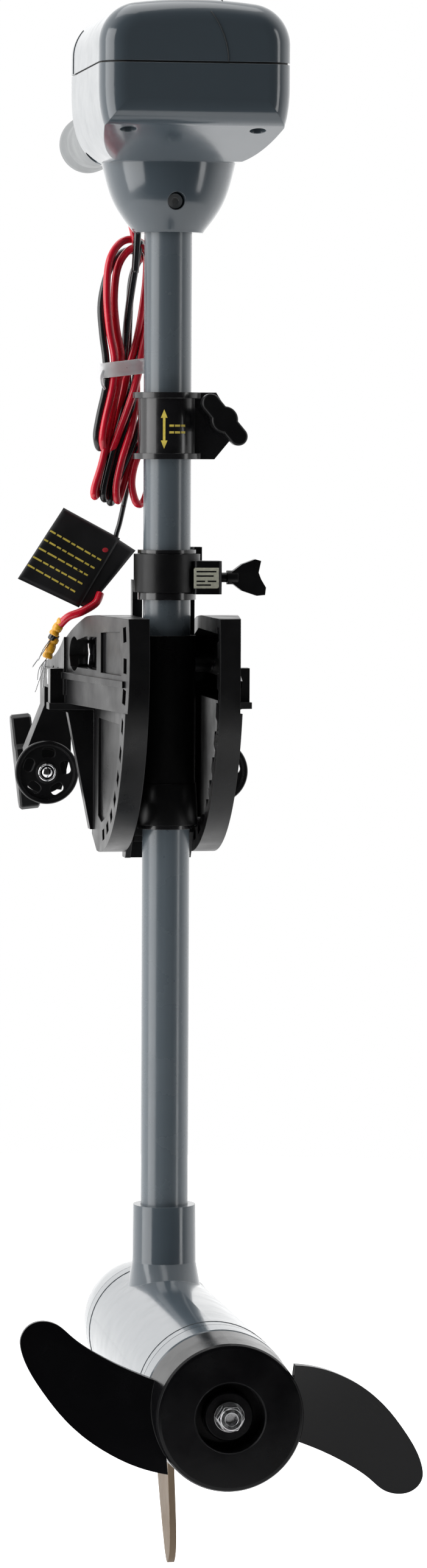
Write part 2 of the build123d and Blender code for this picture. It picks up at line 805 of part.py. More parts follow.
with BuildPart() as quadrant_cavity:
    with BuildSketch(facing_right(-80)):
        with BuildLine():
            ThreePointArc(on_quadrant(rim_inner_radius, 98), on_quadrant(rim_inner_radius, 50),
                          on_quadrant(rim_inner_radius, 2))
            Polyline(on_quadrant(rim_inner_radius, 2), (62, -76), (62, 8), (52, 30), (10, 42),
                     on_quadrant(rim_inner_radius, 98))
        make_face()
    extrude(amount=80)
    add(skin_form(plate_inner - 2, plate_skin), mode=Mode.INTERSECT)

with BuildPart() as teeth:
    with BuildSketch(facing_right(-40)):
        with BuildLine():
            ThreePointArc(on_quadrant(rim_inner_radius + 1, 100), on_quadrant(rim_inner_radius + 1, 50),
                          on_quadrant(rim_inner_radius + 1, 0))
            Line(on_quadrant(rim_inner_radius + 1, 0), on_quadrant(tooth_inner_radius, 0))
            ThreePointArc(on_quadrant(tooth_inner_radius, 0), on_quadrant(tooth_inner_radius, 50),
                          on_quadrant(tooth_inner_radius, 100))
            Line(on_quadrant(tooth_inner_radius, 100), on_quadrant(rim_inner_radius + 1, 100))
        make_face()
    extrude(amount=40 - plate_inner)
    add(plate_wedge, mode=Mode.INTERSECT)

# Recesses in the outer skin, as side view outlines
bolt_recess = [(-4, 17), (54, 17), (57, 24), (44, 33), (20, 36.5), (-4, 37)]
upper_recess = [(-57, 16), (-13, 16), (-13, 40), (-55, 42)]
with BuildPart() as lower_recess:
    with BuildSketch(facing_right(-80)):
        with BuildLine():
            ThreePointArc(on_quadrant(panel_radius, 68), on_quadrant(panel_radius, 40),
                          on_quadrant(panel_radius, 8))
            Polyline(on_quadrant(panel_radius, 8), (46, -74), (46, -14), on_quadrant(panel_radius, 68))
        make_face()
    extrude(amount=60)

with BuildPart() as panel_recesses:
    add(side_prism(upper_recess, -80, -20))
    add(lower_recess.part)
    add(skin_form(plate_inner, recess_depth), mode=Mode.SUBTRACT)

bridge_bolt_places = [(bridge_bolt_aft, bridge_bolt_z), (bridge_bolt_forward, bridge_bolt_z)]
notch_places = [notch_first + index * notch_step for index in range(notch_count)]

with BuildPart() as left_bracket_plate:
    with BuildSketch(facing_right(-80)):
        add(outline(quadrant_radius))
        make_face()
    extrude(amount=80 - plate_inner)
    add(plate_space.part, mode=Mode.INTERSECT)
    add(quadrant_cavity.part, mode=Mode.SUBTRACT)
    add(teeth.part)
    # boss for the pivot bolt and the floor of the recess round its head
    add(tube_along_x(-46, -plate_inner, 11, 0, pivot_y, pivot_z))
    add(side_prism([(-8, 13), (60, 13), (60, 30), (44, 37), (-8, 41)], -40, -34))
    add(plate_space.part, mode=Mode.INTERSECT)
    add(side_prism(bolt_recess, -60, bolt_recess_x), mode=Mode.SUBTRACT)
    add(panel_recesses.part, mode=Mode.SUBTRACT)
    # ledge along the outer skin, from the rim to the hook
    with BuildSketch(level(ledge_z)):
        with BuildLine():
            Polyline((-30, -60), (-flare_at(-62) - 1, -64), (-flare_at(arm_back) - 2.5, arm_back),
                     (-arm_outer - 2.5, 150), (-arm_outer + 4, 154), (-40, 72), close=True)
        make_face()
    extrude(amount=ledge_height)
    # front leg of the clamp, widening down to the boss of the clamp screw
    with BuildSketch(facing_aft(arm_front)):
        with BuildLine():
            Polyline((-arm_inner, 2), (-arm_outer, 2), (-arm_outer, -12), (-clamp_x - 11, -40),
                     (-clamp_x - 9, clamp_z - 10), (-arm_inner - 6, clamp_z - 12), (-arm_inner, -42),
                     close=True)
        make_face()
    extrude(amount=leg_depth)
    add(tube_along_y(arm_front - leg_depth - 2, arm_front + 4, clamp_boss_radius, 0, -clamp_x, clamp_z))
    # jaw behind the transom: a pillar that narrows downwards, with a plain pad on its front
    with BuildSketch(facing_aft(jaw_front - 1)):
        with BuildLine():
            Polyline((-26, hook_top), (-jaw_outer, hook_top), (-jaw_outer, shoulder_z - 3),
                     (-51, shoulder_z - 6), (-37, -84), (-26, -84), close=True)
        make_face()
    extrude(amount=10)
    with BuildSketch(facing_aft(jaw_front)):
        with BuildLine():
            Polyline((-27, -2), (-jaw_outer + 2, -2), (-50, shoulder_z - 7), (-37, -82), (-27, -82),
                     close=True)
        make_face()
    extrude(amount=2)
    # lip over the pillar
    with BuildSketch(level(shoulder_z - 4)):
        with BuildLine():
            Polyline((-30, 58), (-lower_skin_x - 1, 58), (-jaw_outer - 1, 64),
                     (-jaw_outer - 1, jaw_front - 1), (-30, jaw_front - 1), close=True)
        make_face()
    extrude(amount=4)
    # pockets between the teeth, open through the skin
    for angle in notch_places:
        notch_y, notch_z = on_quadrant((rim_inner_radius + tooth_inner_radius) / 2, angle)
        with BuildSketch(facing_right(-60, notch_y, notch_z)):
            Rectangle(notch_width, rim_inner_radius - tooth_inner_radius + 0.6, rotation=-angle)
        extrude(amount=60 - plate_inner + 2, mode=Mode.SUBTRACT)
    add(tube_along_x(-60, -plate_inner + 1, pivot_radius + fit, 0, pivot_y, pivot_z), mode=Mode.SUBTRACT)
    add(tube_along_x(-60, bolt_head_face, 10.5, 0, pivot_y, pivot_z), mode=Mode.SUBTRACT)
    for y, z in bridge_bolt_places:
        add(tube_along_x(-arm_outer - 4, -arm_inner + 1, bridge_bolt_radius + fit, 0, y, z),
            mode=Mode.SUBTRACT)
        add(tube_along_x(-arm_outer - 4, -arm_outer + 0.5, 7.0, 0, y, z), mode=Mode.SUBTRACT)
    add(tube_along_y(80, arm_front + 10, clamp_screw_radius + fit, 0, -clamp_x, clamp_z), mode=Mode.SUBTRACT)
finish(left_bracket_plate, "left_bracket_plate")

with BuildPart() as right_bracket_plate:
    add(mirror(left_bracket_plate.part, about=Plane.YZ, mode=Mode.PRIVATE))
finish(right_bracket_plate, "right_bracket_plate")

# ---------------------------------------------------------------------------------------------
# Bridge between the hooks, its bolts and the tilt pivot bolt
# ---------------------------------------------------------------------------------------------
with BuildPart() as bracket_bridge:
    with BuildSketch(Plane.XY.offset(1.2)):
        RectangleRounded(2 * bridge_half, slot_width - 2, 3)
    extrude(amount=hook_top - 2.2)
    # seat that rests on the transom, proud of the bridge
    with BuildSketch(Plane.XY):
        RectangleRounded(2 * bridge_half - 8, slot_width - 12, 3)
    extrude(amount=1.4)
    for y, z in bridge_bolt_places:
        add(tube_along_x(-80, 80, bridge_bolt_radius + fit, 0, y, z), mode=Mode.SUBTRACT)
finish(bracket_bridge, "bracket_bridge")

with BuildPart() as bridge_bolts:
    for y, z in bridge_bolt_places:
        add(tube_along_x(-arm_outer - 3.5, arm_outer + 5.0, bridge_bolt_radius, 0, y, z))
        with BuildSketch(facing_right(-arm_outer - 3.5, y, z)):
            RegularPolygon(bridge_bolt_head_radius, 6)
        extrude(amount=3.9)
        with BuildSketch(facing_right(arm_outer - 0.4, y, z)):
            RegularPolygon(bridge_bolt_head_radius, 6)
        extrude(amount=4.0)
finish(bridge_bolts, "bridge_bolts")

with BuildPart() as tilt_pivot_bolt:
    add(tube_along_x(bolt_head_face - 1, 44.0, pivot_radius, 0, pivot_y, pivot_z))
    with BuildSketch(facing_right(bolt_head_face, pivot_y, pivot_z)):
        RegularPolygon(pivot_nut_radius, 6)
    extrude(amount=-6.0)
    fillet(tilt_pivot_bolt.faces().sort_by(Axis.X)[0].edges(), 1.2)
    with BuildSketch(facing_right(-bolt_head_face, pivot_y, pivot_z)):
        RegularPolygon(pivot_nut_radius, 6)
        Circle(pivot_radius + fit, mode=Mode.SUBTRACT)
    extrude(amount=6.5)
finish(tilt_pivot_bolt, "tilt_pivot_bolt")

# ---------------------------------------------------------------------------------------------
# Screw clamps, left and right
# ---------------------------------------------------------------------------------------------

def clamp_pad(x):
    """Dished pad that swivels on the tip of the clamp screw."""
    outline_points = [
        (pad_back, pad_radius - 2.6), (pad_back, pad_radius - 0.6), (pad_back + 1, pad_radius),
        (pad_back + 3.4, pad_radius), (pad_back + 5, 11), (pad_back + pad_thickness, 9),
        (pad_back + pad_thickness, swivel_radius + fit), (screw_tip - gap, swivel_radius + fit),
        (screw_tip - gap, 0), (pad_back, 0), (pad_back, 6), (pad_back + 1.5, 7),
        (pad_back + 1.5, pad_radius - 3.2),
    ]
    axis = Axis((x, shaft_y, clamp_z), (0, 1, 0))
    with BuildPart() as pad:
        add(turned(outline_points, axis, facing_right(x, 0, clamp_z)))
        with BuildSketch(facing_aft(pad_back - 1, x, clamp_z)):
            with PolarLocations(12.2, pad_openings, start_angle=14):
                RectangleRounded(6.4, 8.6, 2.6)
        extrude(amount=-pad_thickness - 2, mode=Mode.SUBTRACT)
    return pad.part


def clamp_screw(x):
    """Screw with a plain swivel tip and a square tail for the handle."""
    with BuildPart() as screw:
        add(tube_along_y(screw_tip, pad_back + pad_thickness + gap, swivel_radius, 0, x, clamp_z))
        add(tube_along_y(pad_back + pad_thickness + 0.3, clamp_handle_y + 2, clamp_screw_radius, 0,
                         x, clamp_z))
    return screw.part


def clamp_handle(x):
    """Tee handle across the end of the screw."""
    with BuildPart() as handle:
        with BuildSketch(facing_right(x - handle_thickness / 2, clamp_handle_y + 3, clamp_z)):
            with BuildLine():
                Polyline((-7, 12), (-6, 29), (-2, 31), (4, 31), (7, 27), (9, 10), (9, -10), (7, -27),
                         (4, -31), (-2, -31), (-6, -29), (-7, -12), (-11, -9), (-11, 9), close=True)
            make_face()
        extrude(amount=handle_thickness)
        fillet(handle.edges().filter_by(Axis.X), 1.5)
        chamfer(handle.edges().group_by(Axis.X)[0] + handle.edges().group_by(Axis.X)[-1], 1.2)
        add(tube_along_y(clamp_handle_y - 9, clamp_handle_y + 2 + fit, clamp_screw_radius + fit, 0,
                         x, clamp_z), mode=Mode.SUBTRACT)
    return handle.part.rotate(Axis((x, shaft_y, clamp_z), (0, 1, 0)), -handle_lean)


with BuildPart() as left_clamp_pad:
    add(clamp_pad(-clamp_x))
finish(left_clamp_pad, "left_clamp_pad")

with BuildPart() as right_clamp_pad:
    add(clamp_pad(clamp_x))
finish(right_clamp_pad, "right_clamp_pad")

with BuildPart() as left_clamp_screw:
    add(clamp_screw(-clamp_x))
finish(left_clamp_screw, "left_clamp_screw")

with BuildPart() as right_clamp_screw:
    add(clamp_screw(clamp_x))
finish(right_clamp_screw, "right_clamp_screw")

with BuildPart() as left_clamp_handle:
    add(clamp_handle(-clamp_x))
finish(left_clamp_handle, "left_clamp_handle")

with BuildPart() as right_clamp_handle:
    add(clamp_handle(clamp_x))
finish(right_clamp_handle, "right_clamp_handle")

# ---------------------------------------------------------------------------------------------
# Tilt lock: cross pin, pull handle and spring
# ---------------------------------------------------------------------------------------------
with BuildPart() as tilt_lock_pin:
    add(tube_along_x(-lock_pin_half, lock_pin_half, lock_pin_radius, 0, pin_y, pin_z))
finish(tilt_lock_pin, "tilt_lock_pin")

with BuildPart() as tilt_release_handle:
    for start in (-cheek_outer, cheek_inner):
        with BuildSketch(facing_right(start)):
            with BuildLine():
                Polyline((pin_y - 6, pin_z + 6), (pin_y + 7, pin_z + 6), (44, -90), (44, -99), (32, -99),
                         (pin_y - 5, pin_z - 6), close=True)
            make_face()
        extrude(amount=cheek_outer - cheek_inner)
    with BuildSketch(facing_right(-cheek_outer)):
        with BuildLine():
            Polyline((34.5, -99), (44, -99), (44, -84), (34.5, -84), close=True)
        make_face()
    extrude(amount=2 * cheek_outer)
    add(tube_along_x(-22, 22, lock_pin_radius + fit, 0, pin_y, pin_z), mode=Mode.SUBTRACT)
finish(tilt_release_handle, "tilt_release_handle")

spring_low = lock_pin_radius + spring_wire + 0.2
spring_length = spring_pocket - 1 - spring_low - spring_wire
spring_plane = Plane(
    (0, shaft_y + pin_y - lock_out[0] * spring_low, pin_z - lock_out[1] * spring_low),
    x_dir=(1, 0, 0), z_dir=(0, -lock_out[0], -lock_out[1]),
)
with BuildPart() as coil:
    with BuildLine() as coil_path:
        Helix(spring_length / spring_turns, spring_length, spring_radius)
    with BuildSketch(Plane(coil_path.line @ 0, z_dir=coil_path.line % 0)):
        Circle(spring_wire)
    sweep(path=coil_path.line, is_frenet=True)

with BuildPart() as lock_spring:
    add(coil.part.moved(spring_plane.location))
finish(lock_spring, "lock_spring")

# ---------------------------------------------------------------------------------------------
# Motor
# ---------------------------------------------------------------------------------------------
through_bolt_places = (motor_z - through_bolt_offset, motor_z + through_bolt_offset)

with BuildPart() as motor_housing:
    add(turned([(bell_front + 0.3, 0), (bell_front + 0.3, pod_radius), (nose_back - 0.3, pod_front_radius),
                (nose_back - 0.3, 0)]))
    with BuildSketch(level(motor_z + 20)):
        Circle(neck_radius + 0.6)
    with BuildSketch(level(neck_collar_top)):
        Circle(neck_radius)
    loft()
    with BuildSketch(level(motor_z + 34)):
        Ellipse(22, 34)
    with BuildSketch(level(motor_z + 50)):
        Circle(neck_radius + 0.2)
    loft()
    add(turned([(bell_front - 1, 0), (bell_front - 1, pod_radius - pod_wall),
                (nose_back + 1, pod_front_radius - pod_wall), (nose_back + 1, 0)]), mode=Mode.SUBTRACT)
    add(tube_along_z(shaft_bottom, neck_collar_top + 1, shaft_radius + fit, 0), mode=Mode.SUBTRACT)
    add(tube_along_z(motor_z, shaft_bottom + 1, shaft_bore_radius, 0), mode=Mode.SUBTRACT)
finish(motor_housing, "motor_housing")

with BuildPart() as motor_nose_cone:
    with BuildSketch(pod_side):
        with BuildLine():
            Spline((nose_back, pod_front_radius), (nose_back + 48, 34.5), (nose_tip - 6, 17), (nose_tip, 0),
                   tangents=((1, -0.05), (0, -1)))
            Line((nose_tip, 0), (nose_back, 0))
            Line((nose_back, 0), (nose_back, pod_front_radius))
        make_face()
    revolve(axis=pod_axis)
    with BuildSketch(pod_side):
        with BuildLine():
            Polyline((nose_back - 1, 0), (nose_back - 1, pod_front_radius - pod_wall),
                     (nose_back + 44, 31), (nose_back + 70, 18), (nose_back + 70, 0), close=True)
        make_face()
    revolve(axis=pod_axis, mode=Mode.SUBTRACT)
    # bulkhead with the front bearing's seat
    add(turned([(nose_back, bearing_radius + fit), (nose_back, pod_front_radius - pod_wall + 1),
                (nose_back + 4, 37.5), (nose_back + 4, 18), (nose_back + 12, 18),
                (nose_back + 12, bearing_radius + fit)]))
    for z in through_bolt_places:
        add(tube_along_y(nose_back - 1, nose_back + 3.6, through_bolt_radius + fit, 0, 0, z),
            mode=Mode.SUBTRACT)
finish(motor_nose_cone, "motor_nose_cone")

with BuildPart() as motor_end_bell:
    add(turned([
        (pod_back, seal_radius + fit), (pod_back, pod_radius - 1), (pod_back + 1, pod_radius),
        (bell_front - 0.4, pod_radius), (bell_front - 0.4, pod_radius - pod_wall - 0.1),
        (bell_front + 5, pod_radius - pod_wall - 0.1), (bell_front + 5, pod_radius - pod_wall - 3),
        (bell_front - 10, pod_radius - pod_wall - 3), (bell_front - 10, 17), (bell_front + 1, 17),
        (bell_front + 1, bearing_radius + fit), (bell_front - 9, bearing_radius + fit),
        (bell_front - 9, seal_radius + fit),
    ]))
    for z in through_bolt_places:
        add(tube_along_y(pod_back - 1, bell_front, through_bolt_radius + fit, 0, 0, z), mode=Mode.SUBTRACT)
        add(tube_along_y(pod_back - 1, pod_back + 2.8, bolt_head_radius + fit, 0, 0, z), mode=Mode.SUBTRACT)
finish(motor_end_bell, "motor_end_bell")

with BuildPart() as through_bolts:
    for z in through_bolt_places:
        add(tube_along_y(pod_back + 0.4, nose_back + 3.5, through_bolt_radius, 0, 0, z))
        add(tube_along_y(pod_back + 0.4, pod_back + 2.7, bolt_head_radius, 0, 0, z))
finish(through_bolts, "through_bolts")

with BuildPart() as motor_bearings:
    for start in (bell_front - 8.9, nose_back + 0.5):
        add(tube_along_y(start, start + 9.0, bearing_radius, rotor_radius + fit, 0, motor_z))
finish(motor_bearings, "motor_bearings")

with BuildPart() as shaft_seal:
    add(tube_along_y(pod_back + 0.5, bell_front - 9.1, seal_radius, rotor_radius + fit, 0, motor_z))
finish(shaft_seal, "shaft_seal")

with BuildPart() as field_magnets:
    for centre in (0, 180):
        with BuildSketch(facing_aft(magnet_front, 0, motor_z)):
            with BuildLine():
                CenterArc((0, 0), magnet_outer, centre - magnet_span / 2, magnet_span)
                CenterArc((0, 0), magnet_inner, centre - magnet_span / 2, magnet_span)
                for end in (-magnet_span / 2, magnet_span / 2):
                    turn = radians(centre + end)
                    Line((magnet_inner * cos(turn), magnet_inner * sin(turn)),
                         (magnet_outer * cos(turn), magnet_outer * sin(turn)))
            make_face()
        extrude(amount=magnet_length)
finish(field_magnets, "field_magnets")

with BuildPart() as armature_core:
    with BuildSketch(facing_aft(core_front, 0, motor_z)):
        Circle(core_radius)
        with PolarLocations(core_radius - 5, core_slots):
            Rectangle(9.5, 4, mode=Mode.SUBTRACT)
        Circle(rotor_radius + fit, mode=Mode.SUBTRACT)
    extrude(amount=core_length)
finish(armature_core, "armature_core")

with BuildPart() as armature_windings:
    for start in (core_front + 0.3, core_front - core_length - 13.3):
        add(tube_along_y(start, start + 13, winding_radius, 11, 0, motor_z))
    fillet(armature_windings.edges().filter_by(GeomType.CIRCLE), 3.5)
finish(armature_windings, "armature_windings")

with BuildPart() as commutator:
    with BuildSketch(facing_aft(commutator_front, 0, motor_z)):
        Circle(commutator_radius)
        with PolarLocations(commutator_radius - 0.4, core_slots):
            Rectangle(1.4, 0.8, mode=Mode.SUBTRACT)
        Circle(rotor_radius + fit, mode=Mode.SUBTRACT)
    extrude(amount=commutator_length)
finish(commutator, "commutator")

with BuildPart() as brush_holder:
    with BuildSketch(facing_aft(brush_plate_front, 0, motor_z)):
        Circle(brush_plate_radius)
        Circle(commutator_radius + 2, mode=Mode.SUBTRACT)
        with Locations((0, through_bolt_offset), (0, -through_bolt_offset)):
            Circle(2.6, mode=Mode.SUBTRACT)
    extrude(amount=3)
    for side in (-1, 1):
        with BuildSketch(facing_right(side * 23 - 8, -12, motor_z)):
            Rectangle(31, 12)
            Rectangle(27, 8.2, mode=Mode.SUBTRACT)
        extrude(amount=16)
finish(brush_holder, "brush_holder")

with BuildPart() as brushes:
    for side in (-1, 1):
        with BuildSketch(facing_right(side * 20 - 6.7, brush_y, motor_z)):
            Rectangle(9, 8)
        extrude(amount=13.4)
finish(brushes, "brushes")

with BuildPart() as rotor_shaft:
    add(tube_along_y(hub_back + 2, nose_back + 11, rotor_radius, 0, 0, motor_z))
    add(tube_along_y(hub_back + 1, -244.0, rotor_radius + 1, rotor_radius - 1.1, 0, motor_z),
        mode=Mode.SUBTRACT)
    add(tube_along_x(-12, 12, drive_pin_radius + fit, 0, drive_pin_y, motor_z), mode=Mode.SUBTRACT)
finish(rotor_shaft, "rotor_shaft")

with BuildPart() as drive_pin:
    add(tube_along_x(-10, 10, drive_pin_radius, 0, drive_pin_y, motor_z))
finish(drive_pin, "drive_pin")

# ---------------------------------------------------------------------------------------------
# Propeller: hub with two swept blades of constant pitch
# ---------------------------------------------------------------------------------------------
with BuildPart() as blade:
    for radius, pitch_angle, thickness in ((36, 33, 6.0), (76, 20, 4.2), (122, 13, 3.0)):
        station = Plane((-radius, shaft_y + blade_middle, motor_z), x_dir=(0, 0, 1), z_dir=(-1, 0, 0))
        with BuildSketch(station):
            Rectangle(170, thickness, rotation=pitch_angle)
    loft(ruled=True)
    with BuildSketch(facing_aft(blade_middle + 60, 0, motor_z)):
        with BuildLine():
            Spline((-34.1, 16), (-53.8, 23.8), (-73.9, 34.4), (-85.7, 42.9), (-93.3, 49.3), (-101.6, 51.8),
                   (-109.9, 49.8), (-115.1, 42.5), (-114.6, 35.3), (-111, 25.9), (-103.7, 14), (-93.3, 0.5),
                   (-81.4, -10.8), (-67.5, -19.9), (-52.7, -26.4), (-40.2, -29.4), (-26, -30.5))
            Line((-26, -30.5), (-34.1, 16))
        make_face()
    extrude(amount=120, mode=Mode.INTERSECT)

with BuildPart() as propeller:
    add(turned([
        (hub_front, 38), (hub_front, hub_front_radius), (hub_back + 2.5, hub_back_radius),
        (hub_back + 0.6, hub_back_radius - 0.9), (hub_back, hub_back_radius - 2.6), (hub_back, 20.4),
        (hub_back + 0.8, 19.6), (hub_back + 15, 19.6), (hub_back + 15, 14.4), (boss_face + 0.8, 14.0),
        (boss_face, 13.2), (boss_face, 0), (hub_front + 1, 0), (hub_front + 1, 12), (hub_front - 16, 13),
        (hub_front - 16, 37),
    ]))
    add(blade.part)
    add(blade.part.rotate(pod_axis, 180))
    add(tube_along_y(hub_back - 1, hub_front + 2, rotor_radius + fit, 0, 0, motor_z), mode=Mode.SUBTRACT)
    with BuildSketch(facing_aft(hub_front + 2, 0, motor_z)):
        Rectangle(21, 3.4)
    extrude(amount=11, mode=Mode.SUBTRACT)
finish(propeller, "propeller")

with BuildPart() as prop_nut:
    add(tube_along_y(boss_face - 1.4, boss_face - 0.05, 8.6, rotor_radius - 1.05, 0, motor_z))
    with BuildSketch(facing_aft(boss_face - 1.4, 0, motor_z)):
        RegularPolygon(7.6, 6)
        Circle(3.7, mode=Mode.SUBTRACT)
    extrude(amount=6.5)
    add(tube_along_y(boss_face - 9.4, boss_face - 7.8, 6.0, 3.7, 0, motor_z))
    add(tube_along_y(boss_face - 6.0, boss_face + 1, rotor_radius - 1.05, 0, 0, motor_z), mode=Mode.SUBTRACT)
finish(prop_nut, "prop_nut")

# ---------------------------------------------------------------------------------------------
# Skeg under the motor
# ---------------------------------------------------------------------------------------------
skeg_edge = [
    (skeg_front - 3, skeg_shoulder), (14, 76), (-14, 115.5), (-25, skeg_tip - 2.5), (-31, skeg_tip),
    (-38, skeg_tip - 4.5), (-41, 105), (skeg_back, skeg_shoulder),
]
with BuildPart() as skeg:
    with BuildSketch(facing_right(-skeg_thickness / 2)):
        with BuildLine():
            Polyline((skeg_back, motor_z - skeg_root), (skeg_front, motor_z - skeg_root),
                     (skeg_front - 3, motor_z - skeg_shoulder))
            Spline(*[(y, motor_z - drop) for y, drop in skeg_edge])
            Line((skeg_back, motor_z - skeg_shoulder), (skeg_back, motor_z - skeg_root))
        make_face()
    extrude(amount=skeg_thickness)
    with BuildSketch(facing_aft(skeg_front)):
        with Locations((0, motor_z - pod_radius)):
            Rectangle(3 * skeg_thickness, 8)
    extrude(amount=skeg_front - skeg_back)
    add(turned([(-60, 0), (-60, 43.2), (45, 43.2), (45, 0)]), mode=Mode.SUBTRACT)
finish(skeg, "skeg")

# ---------------------------------------------------------------------------------------------
# Cables, tie, warning tag and crimped ends
# ---------------------------------------------------------------------------------------------

def cable_loop(x_right, width, y, low, high):
    """One coil of cable as a closed upright loop."""
    x_left = x_right - width
    mid = (x_left + x_right) / 2
    with BuildPart() as coil_part:
        with BuildLine(facing_aft(y)) as loop:
            Line((x_right, low + width / 2), (x_right, high - width / 2))
            ThreePointArc((x_right, high - width / 2), (mid, high), (x_left, high - width / 2))
            Line((x_left, high - width / 2), (x_left, low + width / 2))
            ThreePointArc((x_left, low + width / 2), (mid, low), (x_right, low + width / 2))
        with BuildSketch(Plane((x_right, shaft_y + y, (low + high) / 2))):
            Circle(wire_radius)
        sweep(path=loop.wire())
    return coil_part.part


with BuildPart() as power_cable_red:
    add(cable_loop(-17.0, 20.0, 22.0, loop_low + 3, loop_high))
    add(cable_loop(-20.0, 18.0, 34.5, loop_low + 7, loop_high - 8))
    add(tube_along_z(loop_high + 3.5, neck_top + 14, lead_radius, 0, cable_exit_x - 2.6, cable_exit_y))
finish(power_cable_red, "power_cable_red")

with BuildPart() as power_cable_black:
    add(cable_loop(-18.5, 21.0, 28.3, loop_low, loop_high - 4))
    add(tube_along_z(loop_high + 3.5, neck_top + 14, lead_radius, 0, cable_exit_x + 2.6, cable_exit_y))
finish(power_cable_black, "power_cable_black")

with BuildPart() as cable_tie:
    with BuildSketch(level(tie_low)):
        with Locations((tie_x, tie_y)):
            RectangleRounded(tie_width, tie_depth, 6)
            RectangleRounded(tie_width - 2, tie_depth - 2, 5, mode=Mode.SUBTRACT)
    extrude(amount=tie_high - tie_low)
finish(cable_tie, "cable_tie")

with BuildPart() as warning_tag:
    with BuildSketch(facing_aft(tag_y)):
        with Locations(tag_middle):
            RectangleRounded(tag_width, tag_height, 3, rotation=tag_turn)
    extrude(amount=tag_thickness)
finish(warning_tag, "warning_tag")

with BuildPart() as lead_wire:
    lead_plane = Plane((-27.5, shaft_y + tag_y - 2.5, 100.5), x_dir=(0, 1, 0), z_dir=(0.32, -0.45, 0.84))
    with BuildSketch(lead_plane):
        Circle(1.7)
    extrude(amount=14)
finish(lead_wire, "lead_wire")

with BuildPart() as cable_crimps:
    with BuildSketch(Plane((-58.4, shaft_y + tag_y - 2.0, 50.0), x_dir=(0, 1, 0), z_dir=(-0.25, 0, -0.97))):
        Circle(2.9)
    extrude(amount=9.0)
    with BuildSketch(Plane((-62.0, shaft_y + tag_y - 5, 40.5), x_dir=(0, 1, 0), z_dir=(-0.45, 0, -0.9))):
        Circle(crimp_radius)
    extrude(amount=crimp_length)
    with BuildSketch(Plane((-62.0, shaft_y + tag_y + 3, 39.0), x_dir=(0, 1, 0), z_dir=(-0.30, 0.1, -0.95))):
        Circle(crimp_radius)
    extrude(amount=crimp_length)
finish(cable_crimps, "cable_crimps")
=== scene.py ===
"""Looks for the transom-mount trolling motor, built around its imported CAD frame."""
import math
import random

import bmesh
import bpy
from mathutils import Matrix, Vector, noise
from mathutils.bvhtree import BVHTree


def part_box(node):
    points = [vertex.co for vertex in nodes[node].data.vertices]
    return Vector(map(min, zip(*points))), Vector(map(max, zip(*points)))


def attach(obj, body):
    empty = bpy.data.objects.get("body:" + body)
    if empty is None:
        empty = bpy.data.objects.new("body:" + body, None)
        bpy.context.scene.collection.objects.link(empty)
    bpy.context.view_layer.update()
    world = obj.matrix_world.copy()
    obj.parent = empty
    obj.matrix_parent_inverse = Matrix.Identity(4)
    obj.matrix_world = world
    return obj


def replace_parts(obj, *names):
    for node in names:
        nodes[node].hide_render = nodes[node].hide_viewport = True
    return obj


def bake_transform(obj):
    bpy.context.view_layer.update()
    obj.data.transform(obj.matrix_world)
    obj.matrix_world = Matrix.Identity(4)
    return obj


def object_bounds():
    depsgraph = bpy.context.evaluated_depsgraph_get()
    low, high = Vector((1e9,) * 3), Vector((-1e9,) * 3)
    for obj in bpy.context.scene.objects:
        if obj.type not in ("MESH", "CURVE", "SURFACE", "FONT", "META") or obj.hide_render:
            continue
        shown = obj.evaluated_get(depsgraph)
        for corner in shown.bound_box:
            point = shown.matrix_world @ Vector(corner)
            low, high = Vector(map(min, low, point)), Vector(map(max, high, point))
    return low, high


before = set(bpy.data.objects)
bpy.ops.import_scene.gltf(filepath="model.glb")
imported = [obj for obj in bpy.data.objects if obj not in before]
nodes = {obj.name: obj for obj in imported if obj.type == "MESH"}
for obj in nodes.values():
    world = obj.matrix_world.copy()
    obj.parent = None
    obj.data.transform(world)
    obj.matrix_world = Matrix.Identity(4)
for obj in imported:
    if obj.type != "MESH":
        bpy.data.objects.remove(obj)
cad_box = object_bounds()
MM = 0.001
random.seed(7)


# ------------------------------------------------------------------------------------------
# Materials
# ------------------------------------------------------------------------------------------
def scaled(color, factor, lift=0.0):
    """The colour made darker or lighter, with its alpha, and never above white."""
    return tuple(min(1.0, c * factor + lift) for c in color[:3]) + (1.0,)


